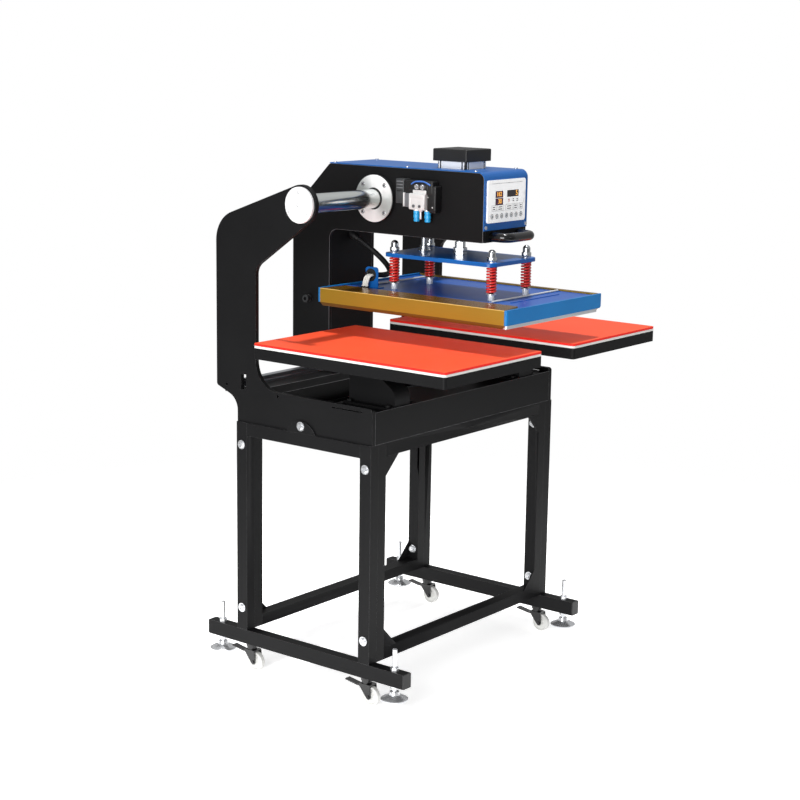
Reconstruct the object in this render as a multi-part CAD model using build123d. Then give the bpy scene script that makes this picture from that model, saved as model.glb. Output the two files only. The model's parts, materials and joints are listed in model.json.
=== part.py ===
from build123d import *
import math
import os

# Dual station heat press: a pneumatic press head shuttles along a shaft between two fixed tables.
# Millimetres. +Z is up, X runs along the shaft, -Y faces the operator.
# The origin is on the floor, in the middle of the footprint.

# Stand
stand_width = 796
stand_depth = 451
stand_front_y = -141
leg_length = 562
leg_width = 30
leg_depth = 35
tube_wall = 2
rail_height = 34
crossbar_height = 30
gusset_size = 50
gusset_thickness = 4
skid_width = 30
skid_height = 38
skid_front_reach = 109
skid_rear_reach = 104
skid_cap_thickness = 3
skid_cap_plug = 12
ear_radius = 53
ear_rise = 31
ear_y = 88
ear_thickness = 4
ear_bolt_rise = 18
stand_bolt_inset = 60
stand_bolt_radius = 5
stand_bolt_tail = 10
washer_radius = 12
washer_thickness = 2
bolt_head_radius = 8.5
bolt_head_height = 5
bolt_nut_flats = 16
bolt_nut_height = 7
hex_key = 6

# Casters and levelling feet
caster_height = 71
caster_wheel_radius = 25
caster_wheel_width = 20
caster_tread_width = 14
caster_hub_radius = 9
caster_trail = 16
caster_front_y = -124
caster_rear_y = 271
caster_axle_radius = 4
caster_plate_radius = 15
caster_plate_thickness = 7
kingpin_radius = 5
swivel_gap = 0.3
fork_gap = 23
fork_thickness = 3
fork_crown_drop = 15
fork_crown_length = 34
fork_foot_radius = 7
pedal_pin_radius = 2
pedal_hub_radius = 4
pedal_drop = 10
pedal_set_back = 8
pedal_width = 18
pedal_length = 56
pedal_lift = 6
pedal_thickness = 3
foot_inset = 37
foot_pad_radius = 35
foot_pad_height = 22
foot_pad_rim = 4
foot_pad_raised = 33
foot_neck_radius = 12
foot_socket_depth = 10
foot_stud_radius = 6
foot_stud_length = 120
foot_nut_flats = 19
foot_nut_height = 9
foot_slot = 2
thread_clearance = 0.05
socket_clearance = 0.3

# Base box and side plates
side_plate_thickness = 12
base_height = 92
front_panel_height = 83
panel_thickness = 4
side_column_depth = 138
side_rear_reach = 74
side_mouth_bottom_radius = 75
side_mouth_top_radius = 36
side_shoulder_radius = 80
side_shoulder_drop = 52
side_throat_drop = 167
side_heel_drop = 33
side_heel_end_drop = 4
side_heel_radius = 45
side_corner_radius = 8
boss_radius = 50
side_slot_width = 18
side_slot_height = 40
side_slot_set_back = 43
side_slot_drop = 6
side_hole_radius = 4
side_hole_drop = 9
side_hole_rear_set_back = 103
side_hole_front_set_back = 76
side_vent_length = 97
side_vent_height = 3
side_vent_drop = 11.5
side_vent_front = 33
bridge_depth = 128
bridge_overhang = 8
bridge_thickness = 6
bridge_lip = 22
beam_depth = 150
beam_height = 60
beam_drop = 13

# Shuttle shaft and lower guide
shaft_y = 95
shaft_rise = 482
shaft_radius = 25
shaft_disc_radius = 45
shaft_disc_thickness = 8
disc_screw_circle = 33
disc_screw_radius = 4.5
disc_screw_clearance = 1
running_clearance = 0.05
rail_set_back = 47
rail_width = 20
rail_rise = 18
rail_end_gap = 12
rail_groove_depth = 3.5
rail_clearance = 0.1
carriage_length = 50
carriage_spacing = 90
carriage_width = 44
carriage_height = 27
carriage_gap = 3

# Tables
table_width = 400
table_depth = 600
table_centre_y = -117
table_corner_radius = 8
mat_thickness = 6
board_thickness = 6
table_frame_height = 28
table_frame_wall = 3
table_lip = 25
table_rib_width = 30
bracket_spread = 60
bracket_flange = 25
bracket_plate_thickness = 5
bracket_rear_set_back = 2
bracket_neck = 46
bracket_bolt_flats = 13
bracket_bolt_height = 5

# Press head
head_width = 188
arm_thickness = 10
head_front_y = -244
head_rear_gap = 3
column_depth = 130
beam_rise = 82
beam_drop_below_shaft = 91
head_slope_depth = 129
head_slope_height = 130
head_corner_radius = 12
column_inner_radius = 25
web_thickness = 4
cover_thickness = 2.5
cover_front_gap = 30
cover_corner_radius = 18
cover_screw_radius = 4.5
cover_screw_height = 2.5
cover_screw_inset = 7
bearing_flange_radius = 61
bearing_height = 16
bearing_edge = 1.5
bearing_tube_radius = 31
bearing_tube_length = 60
bearing_liner = 3
bearing_seal = 3
bearing_screw_circle = 50
bearing_screw_radius = 5
bearing_screw_sink = 6
column_foot_thickness = 10
stop_length = 17
stop_radius = 10.5
stop_head = 5
stop_socket = 9
stop_pin_radius = 6
stop_set_back = 71
stop_rise = 198
stop_nut_flats = 19
stop_nut_height = 6
air_inlet_radius = 4
air_inlet_depth = 16
air_inlet_rise = 90
inlet_spacing = 60
inlet_body_radius = 7
inlet_length = 22

# Air cylinder on the press axis
press_y = -106
cylinder_cap = 108
cylinder_cap_height = 31
cylinder_length = 180
cylinder_body = 92
cylinder_bore_radius = 32
cylinder_groove = 4
cylinder_groove_offset = 34
cylinder_corner_radius = 8
cylinder_head_thickness = 22
cylinder_roof = 8
cap_screw_radius = 7
cap_screw_depth = 6
cap_screw_offset = 40
mount_plate_thickness = 12
mount_plate_lift = 2
mount_plate_front = 94
piston_thickness = 18
piston_rod_radius = 11
rod_hole_clearance = 3

# Pressure plate and springs
plate_gap = 47
plate_width = 205
plate_depth = 350
plate_thickness = 10
plate_corner_radius = 22
plate_edge_radius = 2
stud_x = 76
stud_reach = 155
stud_radius = 5
stud_hole_clearance = 0.6
dome_nut_flats = 17
dome_nut_height = 11
dome_height = 19
dome_washer_radius = 10
nut_gap = 0.3
standoff_flats = 15
standoff_height = 16
seat_radius = 13
seat_thickness = 2
spring_length = 69
spring_outer_radius = 13
spring_wire = 4.8
spring_turns = 9
spring_closed_gap = 0.9
spring_seat_gap = 0.25
guide_post_y = 11
guide_post_radius = 8
guide_post_engagement = 106
guide_flange_radius = 18
guide_flange_thickness = 5
guide_collar_radius = 11
guide_collar_height = 15
guide_bush_wall = 6
guide_bush_flange = 6
guide_bush_flange_thickness = 3
guide_bush_length = 40
rod_nut_flats = 32
rod_nut_height = 9
rod_lock_flats = 24
rod_lock_height = 15
rod_tail = 8

# Heat platen
platen_width = 427
platen_depth = 600
platen_height = 37
platen_sheet = 3
press_gap = 67
left_ledge = 83.5
right_ledge = 14.5
deck_drop = 4
heater_drop = 10
heater_thickness = 20
heater_inset = 6
heater_side_inset = 10
heater_corner_radius = 6
ledge_slant = 18
hem_drop = 9
hem_turn = 3
hem_cut = 7
cap_depth = 8
cap_bend_radius = 5
cap_corner_cut = 8
cap_edge_radius = 2
deck_rib_height = 1.5
deck_rib_width = 4
deck_rib_front = 86
deck_rib_inset = 57
tie_bar_radius = 2.6
tie_bar_rear = 240
tie_bar_front = 179
tie_bar_left_inset = 24
tie_bar_right_inset = 8
tab_inset = 26
tab_y = 102
tab_width = 41
tab_height = 56
tab_foot = 26
tab_hole_rise = 35
tab_hole_offset = 3
tab_hole_radius = 15
tab_corner_radius = 8
tab_thickness = 2.5
grommet_lip = 2
grommet_wall = 1
grommet_bore_radius = 10
grommet_neck_radius = 5
lead_radius = 3
lead_gap = 0.1
lead_reach = 14
lead_shift = 8
lead_bend = 10
deck_grommet_height = 6
deck_grommet_wall = 2

# Black sleeve that carries the heater leads from the head to the platen
conduit_radius = 7.3
conduit_steps = [(0, 0, 0), (3.5, -29, -17), (6, -60, -36.5), (3, -89, -54.5), (-8, -114, -69),
                 (-26, -131, -77), (-49, -138, -80), (-76, -136.5, -79), (-99.4, -131.4, -76.4)]
gland_x = 2
gland_reach = 21
gland_drop = 33
gland_length = 34
gland_taper = 18
gland_wall = 1.5
gland_flare = 2.5

# Control panel, handle and valve
panel_x = -3
panel_width = 164
panel_height = 106
panel_lift = 19
panel_plate = 4
panel_corner_radius = 6
display_width = 35
display_height = 17
display_depth = 1
display_x = -32
counter_x = 27
counter_width = 52
key_radius = 5.5
key_rise = 0.6
key_pitch = 21
key_row = 16
key_count = 7
handle_half_width = 57
handle_reach = 48
handle_radius = 12
handle_bend = 22
handle_rise = 13.5
valve_body_length = 49
valve_body_height = 40
valve_depth = 32
valve_front_gap = 156
valve_drop = 17
coil_height = 32
coil_overhang = 18
connector_length = 30
connector_height = 55
fitting_radius = 8
fitting_length = 30
fitting_bore_radius = 3
fitting_spacing = 36

# Worked out from the sizes above
stand_half = stand_width / 2
stand_rear_y = stand_front_y + stand_depth
foot_x = stand_half - skid_width / 2
skid_top_z = caster_height + skid_height
skid_front_y = stand_front_y - skid_front_reach
skid_rear_y = stand_rear_y + skid_rear_reach
base_floor_z = skid_top_z + leg_length
base_top_z = base_floor_z + base_height
side_outer_x = stand_half - ear_thickness
side_inner_x = side_outer_x - side_plate_thickness
side_rear_y = stand_rear_y + side_rear_reach
side_mouth_y = side_rear_y - side_column_depth
shaft_z = base_top_z + shaft_rise
bridge_front_y = side_mouth_y - bridge_overhang
beam_front_y = stand_front_y + panel_thickness
beam_top_z = base_top_z - beam_drop
head_half = head_width / 2
arm_inner_x = head_half - arm_thickness
head_rear_y = side_rear_y + head_rear_gap
column_front_y = head_rear_y - column_depth
head_top_z = shaft_z + beam_rise
head_low_z = shaft_z - beam_drop_below_shaft
bearing_screw_x = head_half + bearing_height - bearing_screw_sink
head_slope_y = head_rear_y - head_slope_depth
head_slope_z = head_top_z - head_slope_height
rail_y = column_front_y + rail_set_back
column_foot_z = base_top_z + carriage_gap + carriage_height
head_travel = side_inner_x - head_half - stop_length
table_centre_x = head_travel
plate_top_z = head_low_z - plate_gap
plate_low_z = plate_top_z - plate_thickness
spring_bottom_z = plate_low_z - spring_length
deck_z = spring_bottom_z - seat_thickness - standoff_height
platen_top_z = deck_z + deck_drop
platen_bottom_z = platen_top_z - platen_height
heater_low_z = platen_bottom_z - heater_drop
mat_top_z = heater_low_z - press_gap
board_top_z = mat_top_z - mat_thickness
frame_top_z = board_top_z - board_thickness
frame_bottom_z = frame_top_z - table_frame_height
deck_left_x = left_ledge - platen_width / 2
deck_right_x = platen_width / 2 - right_ledge
mount_low_z = head_low_z + mount_plate_lift
cylinder_low_z = mount_low_z + mount_plate_thickness
cap_low_z = cylinder_low_z + cylinder_length
bore_top_z = cap_low_z - cylinder_roof
tab_x = deck_left_x + tab_inset
tab_hole_y = tab_y + tab_hole_offset
tab_hole_z = deck_z + tab_hole_rise
gland_tip = (gland_x, column_front_y - gland_reach, head_low_z - gland_drop)
conduit_route = [tuple(a + b for a, b in zip(gland_tip, step)) for step in conduit_steps]


def box(x0, x1, y0, y1, z0, z1):
    return Pos((x0 + x1) / 2, (y0 + y1) / 2, (z0 + z1) / 2) * Box(x1 - x0, y1 - y0, z1 - z0)


def square_tube(x0, x1, y0, y1, z0, z1, run):
    # A rectangular tube, open along the axis named by run.
    wall = [tube_wall, tube_wall, tube_wall]
    wall["XYZ".index(run)] = 0
    core = box(x0 + wall[0], x1 - wall[0], y0 + wall[1], y1 - wall[1], z0 + wall[2], z1 - wall[2])
    return box(x0, x1, y0, y1, z0, z1) - core


def rod(start, direction, length, radius):
    return extrude(Plane(start, z_dir=direction) * Circle(radius), length)


def hexagon(start, direction, length, flats):
    return extrude(Plane(start, z_dir=direction) * RegularPolygon(flats / 2, 6, major_radius=False), length)


def side_sheet(face, x, thickness):
    # A face drawn with (Y, Z) coordinates, stood up at x and thickened towards +X.
    return extrude(Plane(origin=(x, 0, 0), x_dir=(0, 1, 0), z_dir=(1, 0, 0)) * face, thickness)


def front_sheet(face, y, thickness):
    # A face drawn with (X, Z) coordinates, stood up at y and thickened towards +Y.
    return extrude(Plane(origin=(0, y, 0), x_dir=(1, 0, 0), z_dir=(0, -1, 0)) * face, -thickness)


def outline(*points):
    return make_face(Polyline(*points, close=True))


def turned(*points):
    # A profile of (radius, height) points spun about the Z axis.
    return revolve(Plane.XZ * outline(*points), Axis.Z)


def round_corners(face, radius, *places):
    corners = [face.vertices().sort_by_distance((place[0], place[1], 0))[0] for place in places]
    return fillet(corners, radius)


def mirrored(*parts):
    # Each part and its twin on the other side of the middle plane.
    return list(parts) + [mirror(part, about=Plane.YZ) for part in parts]


def around(y, z, radius, count, first_angle):
    # Places on a circle that faces along X.
    angles = [math.radians(first_angle + 360 * k / count) for k in range(count)]
    return [(y + radius * math.cos(angle), z + radius * math.sin(angle)) for angle in angles]


def save(name, *pieces):
    solids = [solid for piece in pieces for solid in piece.solids()]
    shape = solids[0] if len(solids) == 1 else Compound(children=solids)
    export_step(shape, os.path.join("parts", name + ".step"))


# Stand

def leg_centres():
    return [stand_front_y + leg_depth / 2, stand_rear_y - leg_depth / 2]


def leg_bolt_heights():
    return [base_floor_z - stand_bolt_inset, skid_top_z + stand_bolt_inset]


def foot_places():
    return [skid_front_y + foot_inset, skid_rear_y - foot_inset]


def bolt_holes(tube, x):
    for y in leg_centres():
        for z in leg_bolt_heights():
            tube -= rod((x, y, z), (1, 0, 0), leg_width, stand_bolt_radius)
    return tube


def side_frame():
    # Two legs, the rail between them with its rounded ear, and the long skid below.
    outer, inner = stand_half, stand_half - leg_width
    pieces = []
    for y in leg_centres():
        leg = square_tube(inner, outer, y - leg_depth / 2, y + leg_depth / 2, skid_top_z, base_floor_z, "Z")
        pieces.append(bolt_holes(leg, inner))
    pieces.append(square_tube(inner, outer, stand_front_y + leg_depth, stand_rear_y - leg_depth,
                              base_floor_z - rail_height, base_floor_z, "Y"))
    disc = Pos(ear_y, base_floor_z + ear_rise - ear_radius) * Circle(ear_radius)
    above_rail = Pos(ear_y, base_floor_z + ear_rise) * Rectangle(4 * ear_radius, 2 * ear_rise)
    hole = Pos(ear_y, base_floor_z + ear_bolt_rise) * Circle(stand_bolt_radius)
    pieces.append(side_sheet((disc & above_rail) - hole, side_outer_x, ear_thickness))
    skid = square_tube(stand_half - skid_width, outer, skid_front_y, skid_rear_y, caster_height, skid_top_z, "Y")
    for y in foot_places():
        skid -= rod((foot_x, y, caster_height), (0, 0, 1), skid_height, foot_stud_radius + socket_clearance)
    return pieces + [skid]


def cross_frame(middle_y, outward):
    # Two inner legs joined by a top rail and a lower crossbar, with a gusset in each corner.
    y0, y1 = middle_y - leg_depth / 2, middle_y + leg_depth / 2
    outer = stand_half - leg_width
    inner = outer - leg_width
    rail_low = base_floor_z - rail_height
    bar_top = skid_top_z + crossbar_height
    legs = mirrored(bolt_holes(square_tube(inner, outer, y0, y1, skid_top_z, base_floor_z, "Z"), inner))
    rail = square_tube(-inner, inner, y0, y1, rail_low, base_floor_z, "X")
    crossbar = square_tube(-inner, inner, y0, y1, skid_top_z, bar_top, "X")
    sheet_y = y0 if outward < 0 else y1 - gusset_thickness
    reach = inner - gusset_size
    upper = outline((inner, rail_low), (reach, rail_low), (inner, rail_low - gusset_size))
    lower = outline((inner, bar_top), (reach, bar_top), (inner, bar_top + gusset_size))
    gussets = [front_sheet(triangle, sheet_y, gusset_thickness) for triangle in (upper, lower)]
    return legs + [rail, crossbar] + mirrored(*gussets)


def bolt(point, grip):
    # Washer and socket head outside, shank through the joint, washer and nut at the far end.
    x, y, z = point
    tail = x - grip
    head_x = x + washer_thickness
    cap = rod((head_x, y, z), (1, 0, 0), bolt_head_height, bolt_head_radius)
    cap = chamfer(cap.faces().sort_by(Axis.X)[-1].edges(), bolt_head_height / 3)
    cap -= hexagon((head_x + bolt_head_height / 2, y, z), (1, 0, 0), bolt_head_height / 2, hex_key)
    shank = rod((tail - washer_thickness - stand_bolt_tail, y, z), (1, 0, 0),
                grip + 2 * washer_thickness + stand_bolt_tail, stand_bolt_radius)
    washers = [rod((start, y, z), (1, 0, 0), washer_thickness, washer_radius)
               for start in (x, tail - washer_thickness)]
    nut = hexagon((tail - washer_thickness, y, z), (-1, 0, 0), bolt_nut_height, bolt_nut_flats)
    return cap + shank + washers + nut


def stand_bolts():
    bolts = [bolt((stand_half, y, z), 2 * leg_width) for y in leg_centres() for z in leg_bolt_heights()]
    bolts.append(bolt((stand_half, ear_y, base_floor_z + ear_bolt_rise), ear_thickness + side_plate_thickness))
    return mirrored(*bolts)


def skid_end_caps():
    caps = []
    for y, way in ((skid_front_y, -1), (skid_rear_y, 1)):
        near, far = sorted((y, y + way * skid_cap_thickness))
        inner = stand_half - skid_width
        cap = box(inner, stand_half, near, far, caster_height, skid_top_z)
        cap = fillet(cap.edges().filter_by(Axis.Y), tube_wall)
        near, far = sorted((y, y - way * skid_cap_plug))
        plug = box(inner + tube_wall, stand_half - tube_wall, near, far, caster_height + tube_wall,
                   skid_top_z - tube_wall)
        caps.append(cap + plug)
    return mirrored(*caps)


# Levelling feet

def foot_nuts():
    # One nut under the skid and one on top, both on the thread.
    nuts = []
    for y in foot_places():
        for z in (caster_height - foot_nut_height, skid_top_z):
            nut = hexagon((foot_x, y, z), (0, 0, 1), foot_nut_height, foot_nut_flats)
            nuts.append(nut - rod((foot_x, y, z), (0, 0, 1), foot_nut_height, foot_stud_radius + thread_clearance))
    return mirrored(*nuts)


def foot_pad(x, y):
    # A pressed dish on a low rim, with a socket for the foot of the stud.
    socket = foot_stud_radius + socket_clearance
    floor = foot_pad_height - foot_socket_depth
    dish = turned((0, 0), (foot_pad_radius, 0), (foot_pad_radius, foot_pad_rim),
                  (foot_pad_radius - 3, foot_pad_rim + 2), ((foot_pad_radius + foot_neck_radius) / 2, floor - 2),
                  (foot_neck_radius + 2, floor + 2), (foot_neck_radius, foot_pad_height),
                  (socket, foot_pad_height), (socket, floor), (0, floor))
    return Pos(x, y, foot_pad_raised) * dish


def foot_stud(x, y):
    low = foot_pad_raised + foot_pad_height - foot_socket_depth
    top = low + foot_stud_length
    stud = rod((x, y, low), (0, 0, 1), foot_stud_length, foot_stud_radius)
    stud = chamfer(stud.faces().sort_by(Axis.Z)[-1].edges(), foot_slot / 2)
    return stud - box(x - foot_slot / 2, x + foot_slot / 2, y - foot_stud_radius, y + foot_stud_radius,
                      top - 2 * foot_slot, top)


# Casters

def caster_places():
    return {"front_left": (-foot_x, caster_front_y), "rear_left": (-foot_x, caster_rear_y),
            "front_right": (foot_x, caster_front_y), "rear_right": (foot_x, caster_rear_y)}


def crown_z():
    return caster_height - fork_crown_drop


def caster_plate(x, y):
    # Top plate under the skid, with the kingpin and its riveted end below the fork.
    plate = rod((x, y, caster_height - caster_plate_thickness), (0, 0, 1), caster_plate_thickness,
                caster_plate_radius)
    pin_low = crown_z() - fork_thickness - 2 * swivel_gap
    pin = rod((x, y, pin_low), (0, 0, 1), caster_height - pin_low, kingpin_radius)
    return plate + pin


def pedal_pivot(y):
    return y + pedal_set_back, crown_z() - pedal_drop


def caster_fork(x, y):
    # Two tapering cheeks under a flat crown and a round race, with the axle across their feet.
    axle_y = y - caster_trail
    top = crown_z()
    outer = fork_gap / 2 + fork_thickness
    crown_edge = Pos(y - fork_thickness, top - fork_thickness) * Rectangle(fork_crown_length, 2 * fork_thickness)
    foot_edge = Pos(axle_y, caster_wheel_radius) * Circle(fork_foot_radius)
    cheek = make_hull(crown_edge.edges() + foot_edge.edges())
    fork = side_sheet(cheek, x - outer, fork_thickness) + side_sheet(cheek, x + fork_gap / 2, fork_thickness)
    middle = y - fork_thickness
    crown = box(x - outer, x + outer, middle - fork_crown_length / 2, middle + fork_crown_length / 2,
                top - fork_thickness, top)
    fork += crown
    race_top = caster_height - caster_plate_thickness - swivel_gap
    fork += rod((x, y, top), (0, 0, 1), race_top - top, caster_plate_radius - 2)
    fork += rod((x - outer - 2, axle_y, caster_wheel_radius), (1, 0, 0), 2 * outer + 4, caster_axle_radius)
    fork -= rod((x, y, 0), (0, 0, 1), caster_height, kingpin_radius + running_clearance) - box(
        x - outer - 2, x + outer + 2, axle_y - caster_axle_radius, axle_y + caster_axle_radius, 0,
        caster_wheel_radius + caster_axle_radius)
    pivot_y, pivot_z = pedal_pivot(y)
    return fork - rod((x - outer, pivot_y, pivot_z), (1, 0, 0), 2 * outer, pedal_pin_radius + running_clearance)


def caster_wheel(x, y):
    # A nylon wheel with a raised hub, dished sides and a rounded tread.
    half, tread = caster_wheel_width / 2, caster_tread_width / 2
    bore = caster_axle_radius + running_clearance
    dish = tread - 2
    rim = caster_wheel_radius - 6
    wheel = turned((bore, -half), (caster_hub_radius, -half), (caster_hub_radius + 1, -dish), (rim, -dish),
                   (rim + 2, -tread), (caster_wheel_radius - 1.5, -tread), (caster_wheel_radius, 1.5 - tread),
                   (caster_wheel_radius, tread - 1.5), (caster_wheel_radius - 1.5, tread), (rim + 2, tread),
                   (rim, dish), (caster_hub_radius + 1, dish), (caster_hub_radius, half), (bore, half))
    return Pos(x, y - caster_trail, caster_wheel_radius) * Rot(0, 90, 0) * wheel


def caster_pedal(x, y):
    # A pressed tread on a cross pin, with a cam that bears on the wheel when it is trodden down.
    pivot_y, pivot_z = pedal_pivot(y)
    outer = fork_gap / 2 + fork_thickness
    pin = rod((x - outer, pivot_y, pivot_z), (1, 0, 0), 2 * outer, pedal_pin_radius)
    cam = make_hull((Pos(pivot_y, pivot_z) * Circle(pedal_hub_radius)).edges() +
                    (Pos(pivot_y, pivot_z - pedal_hub_radius - 1) * Circle(pedal_pin_radius)).edges())
    tread = outline((pivot_y, pivot_z + pedal_hub_radius - 1), (pivot_y, pivot_z),
                    (pivot_y + pedal_length / 3, pivot_z), (pivot_y + pedal_length, pivot_z + pedal_lift),
                    (pivot_y + pedal_length, pivot_z + pedal_lift + pedal_thickness),
                    (pivot_y + pedal_length / 3, pivot_z + pedal_thickness))
    return pin + side_sheet(cam + tread, x - pedal_width / 2, pedal_width)


# Base box and side plates

def side_plate_face():
    # Base strip, rear column and an arm whose edges run tangent to the round boss.
    shoulder_z, throat_z = shaft_z - side_shoulder_drop, shaft_z - side_throat_drop
    heel_z, heel_end_z = base_top_z - side_heel_drop, base_top_z - side_heel_end_drop
    boss = Pos(shaft_y, shaft_z) * Circle(boss_radius)
    shoulder = Line((side_rear_y, shoulder_z), (side_mouth_y, throat_z))
    arm = make_hull(boss.edges() + shoulder.edges())
    column = outline((side_rear_y, shoulder_z), (side_mouth_y, throat_z), (side_mouth_y, base_top_z),
                     (stand_front_y, base_top_z), (stand_front_y, base_floor_z), (stand_rear_y, base_floor_z),
                     (stand_rear_y, heel_z), (side_rear_y, heel_end_z))
    face = arm + column
    face = round_corners(face, side_shoulder_radius, (side_rear_y, shoulder_z))
    face = round_corners(face, side_mouth_top_radius, (side_mouth_y, throat_z))
    face = round_corners(face, side_mouth_bottom_radius, (side_mouth_y, base_top_z))
    face = round_corners(face, side_heel_radius, (stand_rear_y, heel_z))
    return round_corners(face, side_corner_radius, (stand_front_y, base_top_z), (side_rear_y, heel_end_z))


def side_plate():
    face = side_plate_face()
    face -= Pos(shaft_y, shaft_z) * Circle(shaft_radius)
    face -= Pos(ear_y, base_floor_z + ear_bolt_rise) * Circle(stand_bolt_radius)
    slot_low = base_top_z - side_slot_drop
    face -= Pos(side_mouth_y + side_slot_set_back, slot_low + side_slot_height / 2) * Rectangle(
        side_slot_width, side_slot_height)
    face -= Pos(side_mouth_y + side_hole_rear_set_back, base_top_z) * Circle(side_hole_radius)
    face -= Pos(side_mouth_y - side_hole_front_set_back, base_top_z - side_hole_drop) * Circle(side_hole_radius)
    vent_y = stand_front_y + side_vent_front + side_vent_length / 2
    face -= Pos(vent_y, base_top_z - side_vent_drop) * SlotOverall(side_vent_length, side_vent_height)
    return side_sheet(face, side_inner_x, side_plate_thickness)


def channel(front_y, depth, top_z, height):
    # A folded channel across the base, open below.
    outer = box(-side_inner_x, side_inner_x, front_y, front_y + depth, top_z - height, top_z)
    return outer - box(-side_inner_x, side_inner_x, front_y + bridge_thickness, front_y + depth - bridge_thickness,
                       top_z - height, top_z - bridge_thickness)


def base_frame():
    front = box(-side_inner_x, side_inner_x, stand_front_y, stand_front_y + panel_thickness, base_floor_z,
                base_floor_z + front_panel_height)
    rear = box(-side_inner_x, side_inner_x, stand_rear_y - panel_thickness, stand_rear_y, base_floor_z,
               base_top_z - bridge_thickness)
    bridge = channel(bridge_front_y, bridge_depth, base_top_z, bridge_lip)
    beam = channel(beam_front_y, beam_depth, beam_top_z, beam_height)
    return [front, rear, bridge, beam]


# Shaft, its end discs and the lower rail

def shaft_disc():
    disc = rod((side_outer_x, shaft_y, shaft_z), (1, 0, 0), shaft_disc_thickness, shaft_disc_radius)
    disc = chamfer(disc.faces().sort_by(Axis.X)[-1].edges(), shaft_disc_thickness / 6)
    face_x = side_outer_x + shaft_disc_thickness
    sink = shaft_disc_thickness / 2
    for y, z in around(shaft_y, shaft_z, disc_screw_circle, 3, 90) + [(shaft_y, shaft_z)]:
        disc -= rod((face_x - sink, y, z), (1, 0, 0), sink, disc_screw_radius + disc_screw_clearance)
        screw = rod((face_x - sink, y, z), (1, 0, 0), sink - disc_screw_clearance, disc_screw_radius)
        disc += screw - hexagon((face_x - sink + disc_screw_clearance, y, z), (1, 0, 0), sink, disc_screw_radius)
    return disc


def guide_rail():
    # A profiled rail with a running groove along each flank.
    half = rail_width / 2
    groove = half - rail_groove_depth
    low, high = rail_rise / 2 - 4.5, rail_rise / 2 + 4.5
    right = [(half, 0), (half, low), (groove, low + rail_groove_depth), (groove, high - rail_groove_depth),
             (half, high), (half, rail_rise)]
    left = [(-y, z) for y, z in reversed(right)]
    length = 2 * (side_inner_x - rail_end_gap)
    return side_sheet(Pos(rail_y, base_top_z) * outline(*right, *left), -length / 2, length)


def carriage_blocks():
    # Two blocks that wrap the rail, each with a bearing ridge in either groove.
    half = rail_width / 2 + rail_clearance
    block = Pos(0, carriage_gap + carriage_height / 2) * Rectangle(carriage_width, carriage_height)
    block -= Rectangle(2 * half, 2 * (rail_rise + rail_clearance))
    middle = rail_rise / 2
    ridge_depth = rail_groove_depth - 2 * rail_clearance
    for side in (-1, 1):
        block += outline((side * half, middle - 3), (side * (half - ridge_depth), middle - 0.4),
                         (side * (half - ridge_depth), middle + 0.4), (side * half, middle + 3))
    section = Pos(rail_y, base_top_z) * block
    return [side_sheet(section, side * carriage_spacing / 2 - carriage_length / 2, carriage_length)
            for side in (-1, 1)]


# Tables

def table_block(bottom, top, inset):
    half_width, half_depth = table_width / 2 - inset, table_depth / 2 - inset
    slab = box(table_centre_x - half_width, table_centre_x + half_width, table_centre_y - half_depth,
               table_centre_y + half_depth, bottom, top)
    return fillet(slab.edges().filter_by(Axis.Z), max(table_corner_radius - inset, 2))


def table_frame():
    # A shallow tray: a top skin, a rim round four sides with a lip turned in, and two ribs below.
    wall = table_frame_wall
    pan = table_block(frame_bottom_z, frame_top_z, 0)
    pan -= table_block(frame_bottom_z + wall, frame_top_z - wall, wall)
    pan -= table_block(frame_bottom_z, frame_bottom_z + wall, table_lip)
    rib_reach = table_depth / 2 - wall
    for side in (-1, 1):
        rib_x = table_centre_x + side * (bracket_spread + table_rib_width) / 2
        rib = box(rib_x - table_rib_width / 2, rib_x + table_rib_width / 2, table_centre_y - rib_reach,
                  table_centre_y + rib_reach, frame_bottom_z, frame_top_z - wall)
        pan += rib
    return pan


def table_bracket():
    # Two cheeks with a swan-neck front edge, a curved web between them, a top plate and a foot.
    t = bracket_plate_thickness
    foot_top = beam_top_z + t
    head_low = frame_bottom_z - t
    rise = head_low - foot_top
    front = beam_front_y
    rear = beam_front_y + beam_depth - bracket_rear_set_back
    neck = front + bracket_neck
    low_end, high_end = foot_top + 0.15 * rise, foot_top + 0.8 * rise
    swan = Spline((front, low_end), (neck, high_end), tangents=((0, 1), (0, 1)), tangent_scalars=(1.6, 1.2))
    cheek = make_face([Line((front, foot_top), (front, low_end)), swan, Line((neck, high_end), (neck, head_low)),
                       Line((neck, head_low), (rear, head_low)), Line((rear, head_low), (rear, foot_top)),
                       Line((rear, foot_top), (front, foot_top))])
    hollow = Pos(t, 0) * cheek
    hollow &= Pos(-t, 0) * cheek
    half = bracket_spread / 2
    x = table_centre_x
    bracket = side_sheet(cheek, x - half, bracket_spread)
    bracket -= side_sheet(hollow, x - half + t, bracket_spread - 2 * t)
    reach = half + bracket_flange
    bracket += box(x - reach, x + reach, neck - t, rear + t, head_low, frame_bottom_z)
    bracket += box(x - reach, x + reach, front, rear, beam_top_z, foot_top)
    for bolt_x in (x - half - bracket_flange / 2, x + half + bracket_flange / 2):
        for bolt_y in (front + bracket_flange / 2, rear - bracket_flange / 2):
            bracket += hexagon((bolt_x, bolt_y, foot_top), (0, 0, 1), bracket_bolt_height, bracket_bolt_flats)
    return bracket


# Press head

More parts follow.
